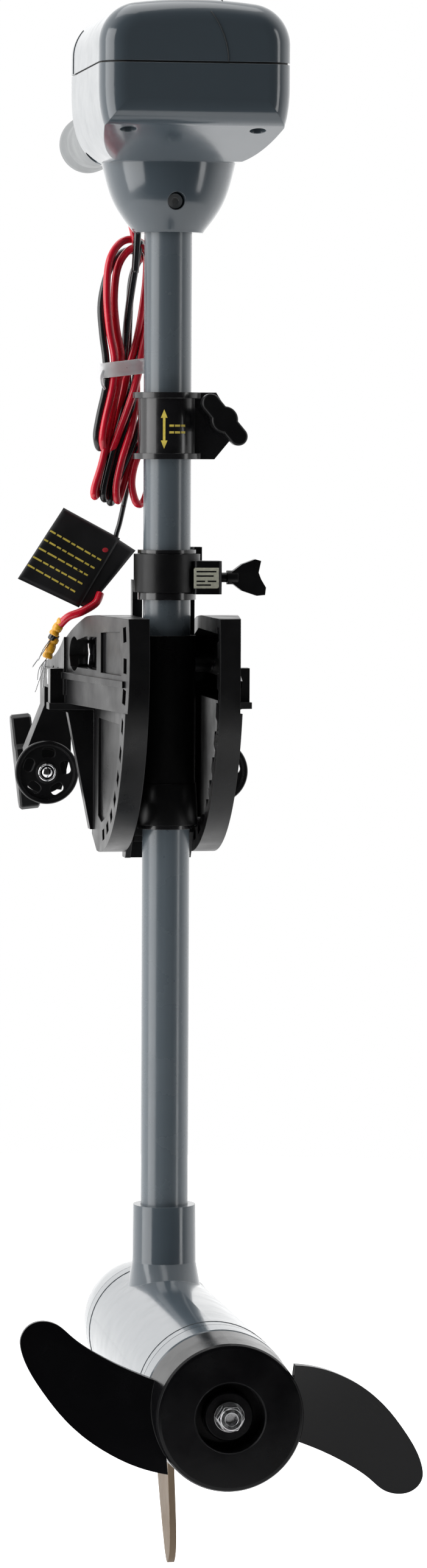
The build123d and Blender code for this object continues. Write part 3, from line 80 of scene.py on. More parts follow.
class Shader:
    """A Principled material with short calls for its procedural inputs."""

    def __init__(self, name, color, rough=0.5, metallic=0.0, coat=0.0, specular=0.5):
        self.mat = bpy.data.materials.new(name)
        self.mat.use_nodes = True
        self.tree = self.mat.node_tree
        self.bsdf = self.tree.nodes["Principled BSDF"]
        self.color = (*color, 1.0)
        self.set("Base Color", self.color)
        self.set("Roughness", rough)
        self.set("Metallic", metallic)
        self.set("Coat Weight", coat)
        self.set("Specular IOR Level", specular)
        self.rough = rough
        self.coords = self.node("ShaderNodeNewGeometry").outputs["Position"]
        self.normal = None

    def set(self, key, value):
        self.bsdf.inputs[key].default_value = value

    def node(self, kind, **inputs):
        made = self.tree.nodes.new(kind)
        for key, value in inputs.items():
            self.feed(made, key, value)
        return made

    def feed(self, node, key, value):
        socket = node.inputs[key]
        if hasattr(value, "is_output"):
            self.tree.links.new(value, socket)
        else:
            socket.default_value = value

    def link(self, output, key):
        self.tree.links.new(output, self.bsdf.inputs[key])

    def noise(self, scale, detail=4.0):
        made = self.node("ShaderNodeTexNoise", Vector=self.coords, Scale=scale, Detail=detail,
                         Roughness=0.55)
        return made.outputs["Fac"]

    def stretched_noise(self, scale, detail):
        """Noise with its own scale on each axis, for streaks and brushing."""
        stretch = self.node("ShaderNodeMapping", Vector=self.coords, Scale=scale)
        made = self.node("ShaderNodeTexNoise", Vector=stretch.outputs["Vector"], Scale=1.0,
                         Detail=detail)
        return made.outputs["Fac"]

    def ramp(self, value, low, high, out_low=0.0, out_high=1.0):
        made = self.node("ShaderNodeMapRange")
        for key, entry in (("Value", value), ("From Min", low), ("From Max", high),
                           ("To Min", out_low), ("To Max", out_high)):
            self.feed(made, key, entry)
        return made.outputs["Result"]

    def mix_color(self, factor, first, second):
        """Mixes two colours. The node's sockets share their names, so they go by index."""
        made = self.node("ShaderNodeMix")
        made.data_type = "RGBA"
        self.feed(made, 0, factor)
        self.feed(made, 6, first)
        self.feed(made, 7, second)
        return made.outputs[2]

    def bump(self, height, distance, strength=1.0):
        made = self.node("ShaderNodeBump", Strength=strength, Distance=distance, Height=height)
        if self.normal is not None:
            self.tree.links.new(self.normal, made.inputs["Normal"])
        self.normal = made.outputs["Normal"]
        self.link(self.normal, "Normal")

    def round_edges(self, radius):
        """Softens the look of machined corners, under the other bumps."""
        made = self.node("ShaderNodeBevel", Radius=radius)
        made.samples = 4
        self.normal = made.outputs["Normal"]
        self.link(self.normal, "Normal")

    def variation(self, amount, scale):
        """Slow colour change over the surface; returns the colour output."""
        factor = self.ramp(self.noise(scale), 0.3, 0.7)
        color = self.mix_color(factor, scaled(self.color, 1 - amount),
                               scaled(self.color, 1 + amount))
        self.link(color, "Base Color")
        return color

    def worn_edges(self, color, edge_color, radius, strength=0.5):
        """Lightens thin edges, where handling polishes and scuffs the surface."""
        bevel = self.node("ShaderNodeBevel", Radius=radius)
        bevel.samples = 4
        geometry = self.node("ShaderNodeNewGeometry")
        dot = self.node("ShaderNodeVectorMath")
        dot.operation = "DOT_PRODUCT"
        self.tree.links.new(bevel.outputs["Normal"], dot.inputs[0])
        self.tree.links.new(geometry.outputs["Normal"], dot.inputs[1])
        edge = self.ramp(dot.outputs["Value"], 0.995, 0.85, 0.0, strength)
        broken = self.node("ShaderNodeMath")
        broken.operation = "MULTIPLY"
        self.tree.links.new(edge, broken.inputs[0])
        self.tree.links.new(self.ramp(self.noise(160.0), 0.4, 0.62), broken.inputs[1])
        self.link(self.mix_color(broken.outputs[0], color, edge_color), "Base Color")

    def rough_variation(self, spread, scale):
        """Patches that are a little shinier or duller than the rest."""
        self.link(self.ramp(self.noise(scale, 5.0), 0.3, 0.7, self.rough - spread,
                            self.rough + spread), "Roughness")


def paint(name, color, rough):
    """Sprayed gloss paint on moulded or cast parts, with faint orange peel and dust."""
    m = Shader(name, color, rough, coat=0.35)
    m.set("Coat Roughness", 0.08)
    m.round_edges(0.0008)
    colour = m.variation(0.05, 9.0)
    m.worn_edges(colour, scaled(color, 1.7), 0.0006)
    m.rough_variation(0.05, 60.0)
    m.bump(m.noise(900.0, 2.0), 0.00004, 0.25)
    return m.mat


def moulded(name, color, rough, grain=1400.0, grain_depth=0.00008, coat=0.0, specular=0.5):
    """Moulded nylon with a fine grain, scuffed along its edges."""
    m = Shader(name, color, rough, coat=coat, specular=specular)
    m.round_edges(0.0006)
    colour = m.variation(0.18, 14.0)
    m.worn_edges(colour, scaled(color, 3.0, 0.015), 0.0007)
    m.rough_variation(0.09, 45.0)
    m.bump(m.noise(grain, 3.0), grain_depth, 0.5)
    m.bump(m.noise(70.0, 2.0), 0.0002, 0.12)
    return m.mat


def tube_composite(name, color):
    """Satin composite tube: fine lengthwise streaks under a thin gloss."""
    m = Shader(name, color, 0.27, coat=0.25)
    m.set("Coat Roughness", 0.12)
    streaks = m.stretched_noise((260.0, 260.0, 5.0), 4.0)
    m.link(m.mix_color(m.ramp(streaks, 0.3, 0.7), scaled(color, 0.93), scaled(color, 1.07)),
           "Base Color")
    m.rough_variation(0.05, 40.0)
    m.bump(streaks, 0.00003, 0.18)
    m.bump(m.noise(22.0, 2.0), 0.0003, 0.006)
    return m.mat


def metal(name, color, rough, brushed=False):
    """Bare or plated metal with fine scratches, which run fore and aft when it is brushed."""
    m = Shader(name, color, rough, metallic=1.0)
    m.round_edges(0.0004)
    scratches = m.stretched_noise((900.0, 4.0, 900.0) if brushed else (300.0, 300.0, 300.0), 5.0)
    m.variation(0.06, 80.0)
    m.link(m.ramp(scratches, 0.3, 0.7, max(0.03, rough - 0.06), rough + 0.08), "Roughness")
    m.bump(scratches, 0.00003, 0.3)
    return m.mat


def rubber(name, color, rough):
    """Soft moulded rubber with a matt grain."""
    m = Shader(name, color, rough)
    m.round_edges(0.0006)
    colour = m.variation(0.10, 20.0)
    m.worn_edges(colour, scaled(color, 1.5), 0.0008, 0.4)
    m.rough_variation(0.08, 60.0)
    m.bump(m.noise(1100.0, 3.0), 0.00012, 0.6)
    return m.mat


def wire_skin(name, color):
    """Glossy PVC insulation with slight waviness and dust in the hollows."""
    m = Shader(name, color, 0.24, coat=0.3)
    m.variation(0.14, 60.0)
    m.rough_variation(0.08, 120.0)
    m.bump(m.noise(260.0, 3.0), 0.0003, 0.25)
    return m.mat


def translucent(name, color):
    """Milky nylon that lets light through."""
    m = Shader(name, color, 0.35)
    m.set("Transmission Weight", 0.55)
    m.set("IOR", 1.45)
    m.set("Subsurface Weight", 0.2)
    m.set("Subsurface Radius", (0.002, 0.002, 0.002))
    m.variation(0.05, 120.0)
    m.rough_variation(0.08, 200.0)
    m.bump(m.noise(500.0, 2.0), 0.0001, 0.3)
    return m.mat


def printed(name, color, rough=0.5):
    """Ink or film with slightly uneven cover."""
    m = Shader(name, color, rough)
    m.variation(0.12, 500.0)
    m.rough_variation(0.08, 300.0)
    m.bump(m.noise(2500.0, 2.0), 0.00003, 0.4)
    return m.mat


PAINT = paint("slate_paint", (0.066, 0.084, 0.100), 0.17)
TUBE = tube_composite("shaft_composite", (0.098, 0.120, 0.138))
NYLON = moulded("black_nylon", (0.005, 0.005, 0.0055), 0.34, specular=0.26)
COLLAR = moulded("black_collar", (0.009, 0.009, 0.010), 0.20, 2000.0, 0.00003, coat=0.3)
GLOSS = moulded("gloss_black", (0.003, 0.003, 0.0035), 0.22, 1800.0, 0.00002, specular=0.16)
GRIP = rubber("grey_rubber", (0.20, 0.21, 0.215), 0.45)
RUBBER = rubber("black_rubber", (0.012, 0.012, 0.012), 0.6)
CHROME = metal("chrome", (0.82, 0.82, 0.84), 0.09)
STEEL = metal("stainless", (0.55, 0.55, 0.56), 0.28, brushed=True)
SCREW = metal("bright_screw", (0.85, 0.85, 0.84), 0.42)
ALU = metal("aluminium_tube", (0.70, 0.71, 0.73), 0.32, brushed=True)
COPPER = metal("copper", (0.72, 0.32, 0.16), 0.35)
FERRITE = moulded("ferrite", (0.05, 0.05, 0.052), 0.6)
CARBON = moulded("carbon", (0.02, 0.02, 0.02), 0.7)
BOARD = printed("circuit_board", (0.02, 0.13, 0.05), 0.4)
LENS = moulded("smoked_lens", (0.02, 0.022, 0.025), 0.08, 3000.0, 0.00001, coat=0.5)
RED_WIRE = wire_skin("red_pvc", (0.64, 0.008, 0.028))
BLACK_WIRE = wire_skin("black_pvc", (0.010, 0.010, 0.011))
TIE = translucent("milky_nylon", (0.97, 0.97, 0.99))
CARD = moulded("tag_card", (0.010, 0.010, 0.011), 0.45, 700.0, 0.00005)
INK = printed("yellow_ink", (0.75, 0.60, 0.10))
CRIMP = moulded("yellow_crimp", (0.80, 0.38, 0.02), 0.32, 900.0, 0.00004, coat=0.2)
LABEL = printed("pale_label", (0.52, 0.52, 0.42))
RED_INK = printed("red_ink", (0.45, 0.02, 0.03))
STRAND = metal("tinned_strand", (0.62, 0.62, 0.63), 0.35)
GROOVE = printed("groove_shadow", (0.02, 0.024, 0.027), 0.6)
# Painted reflection: the skeg's beige-brown is the warm reflection on its sides, painted into its
# base colour.
SKEG_PAINTED_REFLECTION = moulded("skeg_painted_reflection", (0.17, 0.125, 0.085), 0.5, 1200.0, 0.00004, specular=0.2)

CAD_MATERIALS = {
    PAINT: ("head_top_cover", "head_base", "motor_housing", "motor_nose_cone", "motor_end_bell"),
    SKEG_PAINTED_REFLECTION: ("skeg",),
    TUBE: ("shaft_tube", "tiller_outer_tube"),
    NYLON: ("left_bracket_plate", "right_bracket_plate", "bracket_bridge", "tilt_body",
            "tilt_release_handle", "left_clamp_handle", "right_clamp_handle", "left_clamp_pad",
            "right_clamp_pad", "tension_knob", "tiller_lock_collar", "speed_switch_body",
            "speed_switch_shaft", "brush_holder", "grip_core", "depth_collar_knob"),
    COLLAR: ("depth_collar", "steering_bushing", "lower_bushing"),
    GLOSS: ("propeller",),
    GRIP: ("grip",),
    RUBBER: ("head_gasket", "battery_meter_button", "shaft_seal"),
    CHROME: ("tilt_pivot_bolt", "prop_nut"),
    STEEL: ("bridge_bolts", "tilt_lock_pin", "lock_spring", "through_bolts", "motor_bearings",
            "rotor_shaft", "armature_core", "drive_pin", "left_clamp_screw", "right_clamp_screw",
            "depth_collar_bolt"),
    SCREW: ("head_screws",),
    ALU: ("tiller_inner_tube",),
    COPPER: ("armature_windings", "commutator"),
    FERRITE: ("field_magnets",),
    CARBON: ("brushes",),
    BOARD: ("battery_meter_board",),
    LENS: ("battery_meter_lens",),
    RED_WIRE: ("power_cable_red",),
    BLACK_WIRE: ("power_cable_black", "motor_wires", "lead_wire"),
    TIE: ("cable_tie",),
    CARD: ("warning_tag",),
    CRIMP: ("cable_crimps",),
}

for material, names in CAD_MATERIALS.items():
    for name in names:
        slots = nodes[name].data.materials
        slots.clear()
        slots.append(material)


# ------------------------------------------------------------------------------------------
# Mesh building. The points are in mm: x, y ahead of the shaft's axis, z
# ------------------------------------------------------------------------------------------
SHAFT_Y = (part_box("shaft_tube")[0].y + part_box("shaft_tube")[1].y) / 2


def place(point):
    """The point in the frame's metres."""
    return Vector((point[0] * MM, SHAFT_Y + point[1] * MM, point[2] * MM))


def placed(points):
    return [place(q) for q in points]


def circle(sides):
    """The angles of an evenly divided circle."""
    return [2 * math.pi * k / sides for k in range(sides)]


def bridge(mesh, low, high, turn=0):
    """Side faces between two loops with the same number of vertices."""
    count = len(low)
    for k in range(count):
        n = k + 1
        mesh.faces.new((low[k], low[n % count], high[(n + turn) % count], high[(k + turn) % count]))


def prism(mesh, low, high):
    """Closed solid between two loops of points."""
    low, high = [[mesh.verts.new(q) for q in loop] for loop in (low, high)]
    mesh.faces.new(low[::-1])
    mesh.faces.new(high)
    bridge(mesh, low, high)


def new_object(name, mesh, material, smooth=True):
    """Makes an object of the mesh, with its material."""
    data = bpy.data.meshes.new(name)
    mesh.to_mesh(data)
    mesh.free()
    if smooth:
        data.shade_smooth()
    data.materials.append(material)
    obj = bpy.data.objects.new(name, data)
    bpy.context.scene.collection.objects.link(obj)
    return obj


def new_piece(name, mesh, material, body=None, smooth=True):
    """A closed mesh that rides on the body; a piece with no body is left unattached."""
    bmesh.ops.recalc_face_normals(mesh, faces=mesh.faces)
    obj = new_object(name, mesh, material, smooth)
    if body:
        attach(obj, body)
    return obj


def smooth_path(points, steps, closed=False):
    """Catmull-Rom curve through the points."""
    count = len(points)
    ends = count if closed else count - 1
    out = []
    for index in range(ends):
        if closed:
            a, b, c, d = (points[(index + k) % count] for k in (-1, 0, 1, 2))
        else:
            a, b, c, d = (points[min(max(index + k, 0), count - 1)] for k in (-1, 0, 1, 2))
        for step in range(steps):
            t = step / steps
            out.append(0.5 * (2 * b + (c - a) * t + (2 * a - 5 * b + 4 * c - d) * t ** 2
                              + (3 * b - a - 3 * c + d) * t ** 3))
    if not closed:
        out.append(points[-1].copy())
    return out


def tube(mesh, path, radius, sides=14, closed=False, squash=1.0):
    """Adds a tube along the path; radius is a number or a function of the share of the length."""
    count = len(path)
    normal = None
    rings = []
    for index, point in enumerate(path):
        ahead = path[(index + 1) % count] if closed or index < count - 1 else point
        behind = path[index - 1] if closed or index > 0 else point
        tangent = (ahead - behind).normalized()
        if normal is None:
            normal = tangent.orthogonal().normalized()
        normal = (normal - tangent * normal.dot(tangent)).normalized()
        side = tangent.cross(normal)
        size = radius(index / (count - 1)) if callable(radius) else radius
        rings.append([mesh.verts.new(point + size * (normal * math.cos(a)
                                                     + side * math.sin(a) * squash))
                      for a in circle(sides)])
    for low, high in zip(rings, rings[1:]):
        bridge(mesh, low, high)
    if closed:
        turn = min(range(sides), key=lambda k: (rings[0][k].co - rings[-1][0].co).length)
        bridge(mesh, rings[-1], rings[0], turn)
    else:
        mesh.faces.new(rings[0])
        mesh.faces.new(rings[-1])


def wire(name, points, radius, material, body=None, closed=False):
    """A round wire through the points, as a piece of its own."""
    mesh = bmesh.new()
    tube(mesh, smooth_path(placed(points), 7, closed), radius * MM, closed=closed)
    return new_piece(name, mesh, material, body)


def slab(mesh, corners, thickness, cell, bulge):
    """Adds a finely divided slab with soft edges: four corners in order, thickness towards aft."""
    a, b, c, d = placed(corners)
    wide = max(2, int((b - a).length / cell))
    tall = max(2, int((d - a).length / cell))
    sheets = []
    for side in (0, 1):
        rows = []
        for j in range(tall + 1):
            row = []
            for i in range(wide + 1):
                u, v = i / wide, j / tall
                point = a.lerp(b, u).lerp(d.lerp(c, u), v)
                edge = min(u, 1 - u) * (b - a).length, min(v, 1 - v) * (d - a).length
                inset = min(1.0, min(edge) / bulge)
                depth = thickness * (0.5 + 0.5 * math.sqrt(1 - (1 - inset) ** 2))
                depth = depth if side else thickness - depth
                row.append(mesh.verts.new(point + Vector((0, -depth, 0))))
            rows.append(row)
        sheets.append(rows)
    for rows in sheets:
        for j in range(tall):
            for i in range(wide):
                mesh.faces.new((rows[j][i], rows[j][i + 1], rows[j + 1][i + 1], rows[j + 1][i]))
    loops = []
    for rows in sheets:
        loops.append(rows[0] + [row[-1] for row in rows[1:]] + rows[-1][-2::-1]
                     + [row[0] for row in rows[-2:0:-1]])
    bridge(mesh, *loops)


def turned(mesh, middle, profile, sides=32, tall=1.0):
    """Closed solid turned about the y axis, from (radius, y) pairs that run aft to forward."""
    rows = []
    for radius, depth in profile:
        rows.append([mesh.verts.new(middle + MM * Vector((radius * math.cos(a), depth,
                                                          radius * tall * math.sin(a))))
                     for a in circle(sides)])
    for low, high in zip(rows, rows[1:]):
        bridge(mesh, low, high)
    mesh.faces.new(rows[0][::-1])
    mesh.faces.new(rows[-1])


def dome(radius, height, back, steps=8):
    """Profile of a low dome that faces aft, with a straight skirt reaching forward to `back`."""
    rise = [(radius * math.sin(t), -height * math.cos(t))
            for t in (math.pi / 2 * (k + 0.35) / (steps + 0.35) for k in range(steps + 1))]
    return rise + [(radius, back)]


# ------------------------------------------------------------------------------------------
# Power cable: loops of red and black wire, gathered by a tie
# ------------------------------------------------------------------------------------------
LOOPS = {
    "cable_red_outer": [
        (-9.7, 30, 272.0), (-18.4, 26, 276.0), (-26.7, 22, 273.0), (-32.9, 20, 262.1),
        (-34.4, 19, 243.6), (-32.8, 19, 222.1), (-29.4, 20, 203.7), (-30.6, 20, 186.7),
        (-35.2, 19, 166.6), (-36.5, 21, 155.1), (-33.6, 26, 149.3), (-28.7, 30, 159.0),
        (-23.9, 31, 177.6), (-19.7, 31, 196.2), (-14.1, 30, 217.9), (-10.2, 30, 241.1),
        (-8.5, 31, 259.7)],
    "cable_black_outer": [
        (-12.5, 34, 270.2), (-23.7, 30, 268.0), (-32.2, 27, 257.0), (-37.1, 24, 237.6),
        (-36.4, 22, 219.1), (-34.4, 22, 203.7), (-34.2, 22, 188.3), (-38.1, 22, 169.7),
        (-39.8, 23, 157.4), (-36.9, 27, 150.3), (-30.9, 32, 160.5), (-24.7, 34, 179.1),
        (-22.1, 33, 202.4), (-20.6, 26, 230.1), (-17.3, 22, 256.2), (-13.7, 24, 273.2)],
    "cable_red_inner": [
        (-10.5, 24, 269.9), (-20.0, 23, 269.7), (-27.0, 24, 259.2), (-29.2, 24, 240.7),
        (-27.8, 24, 222.3), (-24.8, 25, 205.3), (-26.5, 27, 188.4), (-31.3, 26, 163.6),
        (-36.4, 22, 141.9), (-41.5, 20, 125.7), (-40.1, 23, 121.5), (-35.1, 26, 135.7),
        (-27.7, 23, 155.9), (-20.1, 20, 177.5), (-15.2, 22, 193.0), (-11.0, 27, 211.6),
        (-7.9, 30, 230.3), (-7.1, 30, 251.9)],
    "cable_black_inner": [
        (-5.9, 34, 256.7), (-6.6, 36, 267.6), (-12.2, 36, 264.4), (-16.9, 36, 252.0),
        (-18.4, 36, 230.3), (-19.0, 37, 204.0), (-19.6, 34, 186.9), (-23.6, 28, 168.3),
        (-29.8, 24, 148.1), (-34.1, 22, 132.7), (-35.9, 22, 123.1), (-33.8, 26, 119.9),
        (-30.7, 28, 132.6), (-25.4, 26, 151.2), (-18.6, 26, 172.9), (-14.9, 28, 196.2),
        (-9.8, 34, 224.2)],
    "cable_red_lower": [
        (-5.5, 32, 202.5), (-7.0, 36, 218.0), (-12.0, 36, 211.8), (-13.8, 36, 196.3),
        (-14.6, 30, 182.3), (-18.2, 24, 163.6), (-24.4, 22, 143.5), (-27.8, 22, 127.3),
        (-26.5, 25, 118.4), (-22.4, 29, 128.0), (-17.6, 28, 146.6), (-12.2, 28, 165.2),
        (-7.4, 28, 182.3)],
    "cable_red_short": [
        (-6.9, 24, 154.4), (-10.9, 26, 151.3), (-16.0, 26, 140.4), (-17.8, 26, 128.0),
        (-15.0, 26, 117.4), (-10.4, 28, 118.0), (-6.0, 30, 131.2), (-4.7, 28, 143.6)],
    "cable_black_lower": [
        (-6.7, 30, 171.5), (-11.4, 28, 168.3), (-17.9, 26, 151.3), (-23.8, 26, 137.3),
        (-30.4, 27, 121.5), (-29.6, 30, 117.6), (-24.0, 33, 128.5), (-16.9, 33, 143.5),
        (-9.9, 33, 156.0)],
}
RISERS = {
    "cable_red_riser": [(-14.0, 24.5, 262), (-17.5, 23, 279), (-20.6, 22, 296), (-20.6, 22, 334)],
    "cable_black_riser": [(-17.0, 21.5, 256), (-15.6, 21.5, 279), (-15.4, 22, 296),
                          (-15.4, 22, 334)],
}
CABLE_RADIUS = 2.3
# The tie's height at one x, and how much it rises towards the shaft
TIE_Z = 198.5
TIE_X = -23.0
TIE_SLOPE = 0.12


def build_cables():
    """Seven loops hanging from the tie, and the two wires that rise from them into the head."""
    made = {}
    for name, points in [*LOOPS.items(), *RISERS.items()]:
        skin = RED_WIRE if "red" in name else BLACK_WIRE
        made[name] = wire(name, points, CABLE_RADIUS, skin, "shaft_assembly", closed=name in LOOPS)
    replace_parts(made["cable_red_outer"], "power_cable_red")
    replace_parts(made["cable_black_outer"], "power_cable_black")


def build_tie():
    """Flat strap round the gathered cable, with a ribbed outside and a short tail."""
    outline = [(-37.6, 24), (-36.4, 19), (-30, 16.6), (-22, 16.8), (-13, 18.4), (-9.8, 25),
               (-10.4, 34), (-14, 39.4), (-20, 40), (-27, 35), (-35, 30.4)]
    section = [(-4.6, 0.0), (-4.0, 0.63), (-1.3, 0.81), (0.0, 0.495), (1.3, 0.81), (4.0, 0.63),
               (4.6, 0.0), (4.4, -0.5), (-4.4, -0.5)]
    ring = smooth_path([Vector((x, y, 0)) for x, y in outline], 6, closed=True)
    mesh = bmesh.new()
    rows = []
    for level, swell in section:
        row = []
        for index, point in enumerate(ring):
            along = (ring[(index + 1) % len(ring)] - ring[index - 1]).normalized()
            outer = point + along.cross(Vector((0, 0, 1))) * swell
            z = TIE_Z + level + (point.x - TIE_X) * TIE_SLOPE
            row.append(mesh.verts.new(place((outer.x, outer.y, z))))
        rows.append(row)
    for low, high in zip(rows, rows[1:] + rows[:1]):
        bridge(mesh, low, high)
    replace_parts(new_piece("tie_strap", mesh, TIE, "shaft_assembly"), "cable_tie")
    tail = bmesh.new()
    path = placed([(-36.0, 18.6, 196.5), (-37.4, 18.2, 193.0), (-36.9, 18.6, 188.5),
                   (-35.2, 19.0, 185.6)])
    tube(tail, smooth_path(path, 6), lambda t: (1.7 - 0.8 * t) * MM, 12, squash=0.45)
    new_piece("tie_tail", tail, TIE, "shaft_assembly")


TAG_FACE_Y = 41.3
TAG_LINES = [((-65.5, 100.0), (-33.5, 81.6)), ((-69.1, 94.7), (-37.5, 76.7)),
             ((-72.4, 89.5), (-40.8, 71.9)), ((-75.9, 84.2), (-44.5, 67.0)),
             ((-79.2, 79.3), (-48.8, 62.1))]
TAG_LINE_HALF = 0.55


def ripple(point):
    """How far the thin tag bends forward at a point, so that it doesn't hang flat."""
    return noise.noise(point * 60.0) * 0.8 * MM


def build_tag():
    """Printed sleeve: a card, the darker pocket behind it, plain bars for its lines and a dot."""
    for name, corners, thickness, bulge in (
            ("tag_card", [(-85.2, 43.2, 70.8), (-47.6, 43.2, 53.2), (-22.6, 43.2, 95.4),
                          (-57.3, 43.2, 114.0)], 1.9, 2.2),
            ("tag_sleeve", [(-61.0, 46.0, 61.0), (-42.0, 46.0, 52.2), (-12.6, 46.0, 88.0),
                            (-33.0, 46.0, 101.0)], 3.4, 3.0)):
        mesh = bmesh.new()
        slab(mesh, corners, thickness * MM, 1.6 * MM, bulge * MM)
        sheet = new_piece(name, mesh, CARD, "tilt_frame")
        for vertex in sheet.data.vertices:
            vertex.co.y += ripple(vertex.co)
        if name == "tag_card":
            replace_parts(sheet, "warning_tag")
    bars = bmesh.new()
    for start, end in TAG_LINES:
        start, end = Vector(start), Vector(end)
        along = (end - start).normalized()
        up = Vector((-along.y, along.x)) * TAG_LINE_HALF
        length = (end - start).length
        done = 0.0
        while done < length - 2.0:
            step = min(random.uniform(3.5, 7.5), length - done)
            a, b = start + along * done, start + along * (done + step - 1.0)
            low = placed([(q.x, TAG_FACE_Y, q.y) for q in (a - up, b - up, b + up, a + up)])
            low = [q + Vector((0, ripple(q) - 0.08 * MM, 0)) for q in low]
            prism(bars, low, [q + Vector((0, 0.25 * MM, 0)) for q in low])
            done += step
    new_piece("tag_bars", bars, INK, "tilt_frame", smooth=False)
    dot = bmesh.new()
    turned(dot, place((-31.8, 41.1, 88.4)), dome(2.0, 0.36, 0.5), tall=0.8)
    new_piece("tag_dot", dot, RED_INK, "tilt_frame")


LEAD_RADIUS = 1.6


def build_lead():
    """Thin wire from the coils down to the tag, in two parts that meet at the steering bush."""
    upper = wire("lead_upper", [(-12.4, 26, 152), (-15.4, 27, 148.2), (-17.3, 29, 140.4),
                                (-18.9, 34, 128.0), (-21.0, 38.5, 115.5)], LEAD_RADIUS, BLACK_WIRE)
    lower = wire("lead_lower", [(-21.0, 38.5, 115.5), (-23.0, 41.6, 104.5), (-24.7, 43.3, 97.9),
                                (-25.8, 44, 91)], LEAD_RADIUS, BLACK_WIRE)
    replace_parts(lower, "lead_wire")
    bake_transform(upper)
    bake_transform(lower)


def crimp_radius(t):
    """Barrel of an insulated butt crimp: belled ends and two pinched bands."""
    size = 3.1
    for centre in (0.3, 0.7):
        size -= 0.55 * math.exp(-((t - centre) / 0.06) ** 2)
    if t < 0.05 or t > 0.95:
        size -= 0.5
    return size * MM


CRIMPS = {
    "crimp_barrels": (CRIMP, crimp_radius, 16, 20, [
        [(-57.6, 42.2, 45.8), (-60.6, 43.6, 41.0), (-63.2, 44, 36.4)],
        [(-61.8, 47, 34.8), (-64.6, 47, 28.4), (-66.6, 47.5, 22.4)]]),
    "crimp_bands": (BLACK_WIRE, 2.3 * MM, 8, 16, [
        [(-62.4, 44, 37.4), (-63.6, 44.6, 35.6), (-64.2, 45.4, 34.4)],
        [(-61.0, 46.4, 36.6), (-62.2, 47, 34.0)]]),
    "bare_strands": (STRAND, 0.32 * MM, 10, 8, [
        [(-64.0, 44.8, 34.6), (-68.0, 44.6, 28.0), (-76.0, 44, 16.9)],
        [(-64.4, 44.6, 34.4), (-69.6, 43.6, 27.4), (-72.4, 43.2, 21.0)],
        [(-66.8, 47.6, 22.4), (-70.0, 48.6, 12.4), (-73.5, 50, 1.4)],
        [(-67.0, 47.4, 22.4), (-68.4, 47.2, 12.0), (-68.9, 47.0, 4.2)],
        [(-66.4, 47.2, 22.4), (-71.4, 46.6, 16.0), (-72.6, 46.2, 9.0)]]),
}


def build_crimps():
    """Crimped ends below the tag, with bare strands sticking out of them."""
    wire("tag_tail_red", [(-34.5, 43.2, 62.0), (-37.7, 40.5, 56.0), (-46.3, 37.8, 51.0),
                          (-54.4, 39.4, 47.8), (-59.4, 43.0, 42.6)], 2.5, RED_WIRE, "tilt_frame")
    for name, (material, radius, steps, sides, paths) in CRIMPS.items():
        mesh = bmesh.new()
        for path in paths:
            tube(mesh, smooth_path(placed(path), steps), radius, sides)
        piece = new_piece(name, mesh, material, "tilt_frame")
        if name == "crimp_barrels":
            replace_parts(piece, "cable_crimps")


# ------------------------------------------------------------------------------------------
# Printed marks and thin surface lines
# ------------------------------------------------------------------------------------------
MARK_RADIUS = 17.82
MARK_LIFT = 0.12
LABEL_Y = -17.95
LABEL_BARS = [(76.2, 15.2, 27.2), (73.6, 15.2, 25.6), (70.4, 15.2, 20.4), (70.4, 22.0, 27.2),
              (68.2, 15.2, 24.0)]
LINE_RADIUS = 0.35
LINE_LIFT = 0.05


def wrap_on_collar(mesh, outline):
    """Adds a thin raised mark on the depth collar's aft side, from an x and z outline."""
    low, high = [placed([(reach * math.sin(x / MARK_RADIUS), -reach * math.cos(x / MARK_RADIUS), z)
                         for x, z in outline]) for reach in (MARK_RADIUS, MARK_RADIUS + MARK_LIFT)]
    prism(mesh, low, high)


def rectangle(x0, z0, x1, z1):
    return [(x0, z0), (x1, z0), (x1, z1), (x0, z1)]


def build_arrow():
    """Double-headed height arrow with two plain bars beside it, on the depth collar."""
    mesh = bmesh.new()
    x, low, high = -4.6, 150.0, 173.5
    wrap_on_collar(mesh, rectangle(x - 0.75, low + 4.6, x + 0.75, high - 4.6))
    wrap_on_collar(mesh, [(x - 2.0, high - 5.0), (x + 2.0, high - 5.0), (x, high)])
    wrap_on_collar(mesh, [(x - 2.0, low + 5.0), (x, low), (x + 2.0, low + 5.0)])
    for z in (159.2, 163.2):
        for start, end in ((-1.5, 1.3), (1.9, 5.2), (5.9, 8.6)):
            wrap_on_collar(mesh, rectangle(start, z, end, z + 1.3))
    new_piece("height_arrow", mesh, INK, "depth_collar", smooth=False)


def build_label():
    """Pale plate on the steering collar's lug, with plain dark bars."""
    mesh = bmesh.new()
    plate = [(x, LABEL_Y, z) for x, z in rectangle(13.6, 66.6, 28.8, 79.0)]
    slab(mesh, plate, 0.5 * MM, 0.8 * MM, 0.8 * MM)
    new_piece("collar_label", mesh, LABEL, "tilt_frame")
    bars = bmesh.new()
    for z, start, end in LABEL_BARS:
        low = placed([(x, LABEL_Y - 0.47, h) for x, h in rectangle(start, z, end, z + 0.9)])
        prism(bars, low, [q + Vector((0, -0.12 * MM, 0)) for q in low])
    new_piece("collar_label_bars", bars, NYLON, "tilt_frame", smooth=False)


def surface_line(name, node, starts, direction):
    """Thin dark line pressed onto a node's surface, found by casting rays at it."""
    tree = BVHTree.FromObject(nodes[node], bpy.context.evaluated_depsgraph_get())
    hits = []
    for start in starts:
        point, normal, _, _ = tree.ray_cast(place(start), Vector(direction))
        if point is not None:
            hits.append(point + normal * LINE_LIFT * MM)
    mesh = bmesh.new()
    tube(mesh, hits, LINE_RADIUS * MM, 8)
    new_piece(name, mesh, GROOVE, "shaft_assembly")


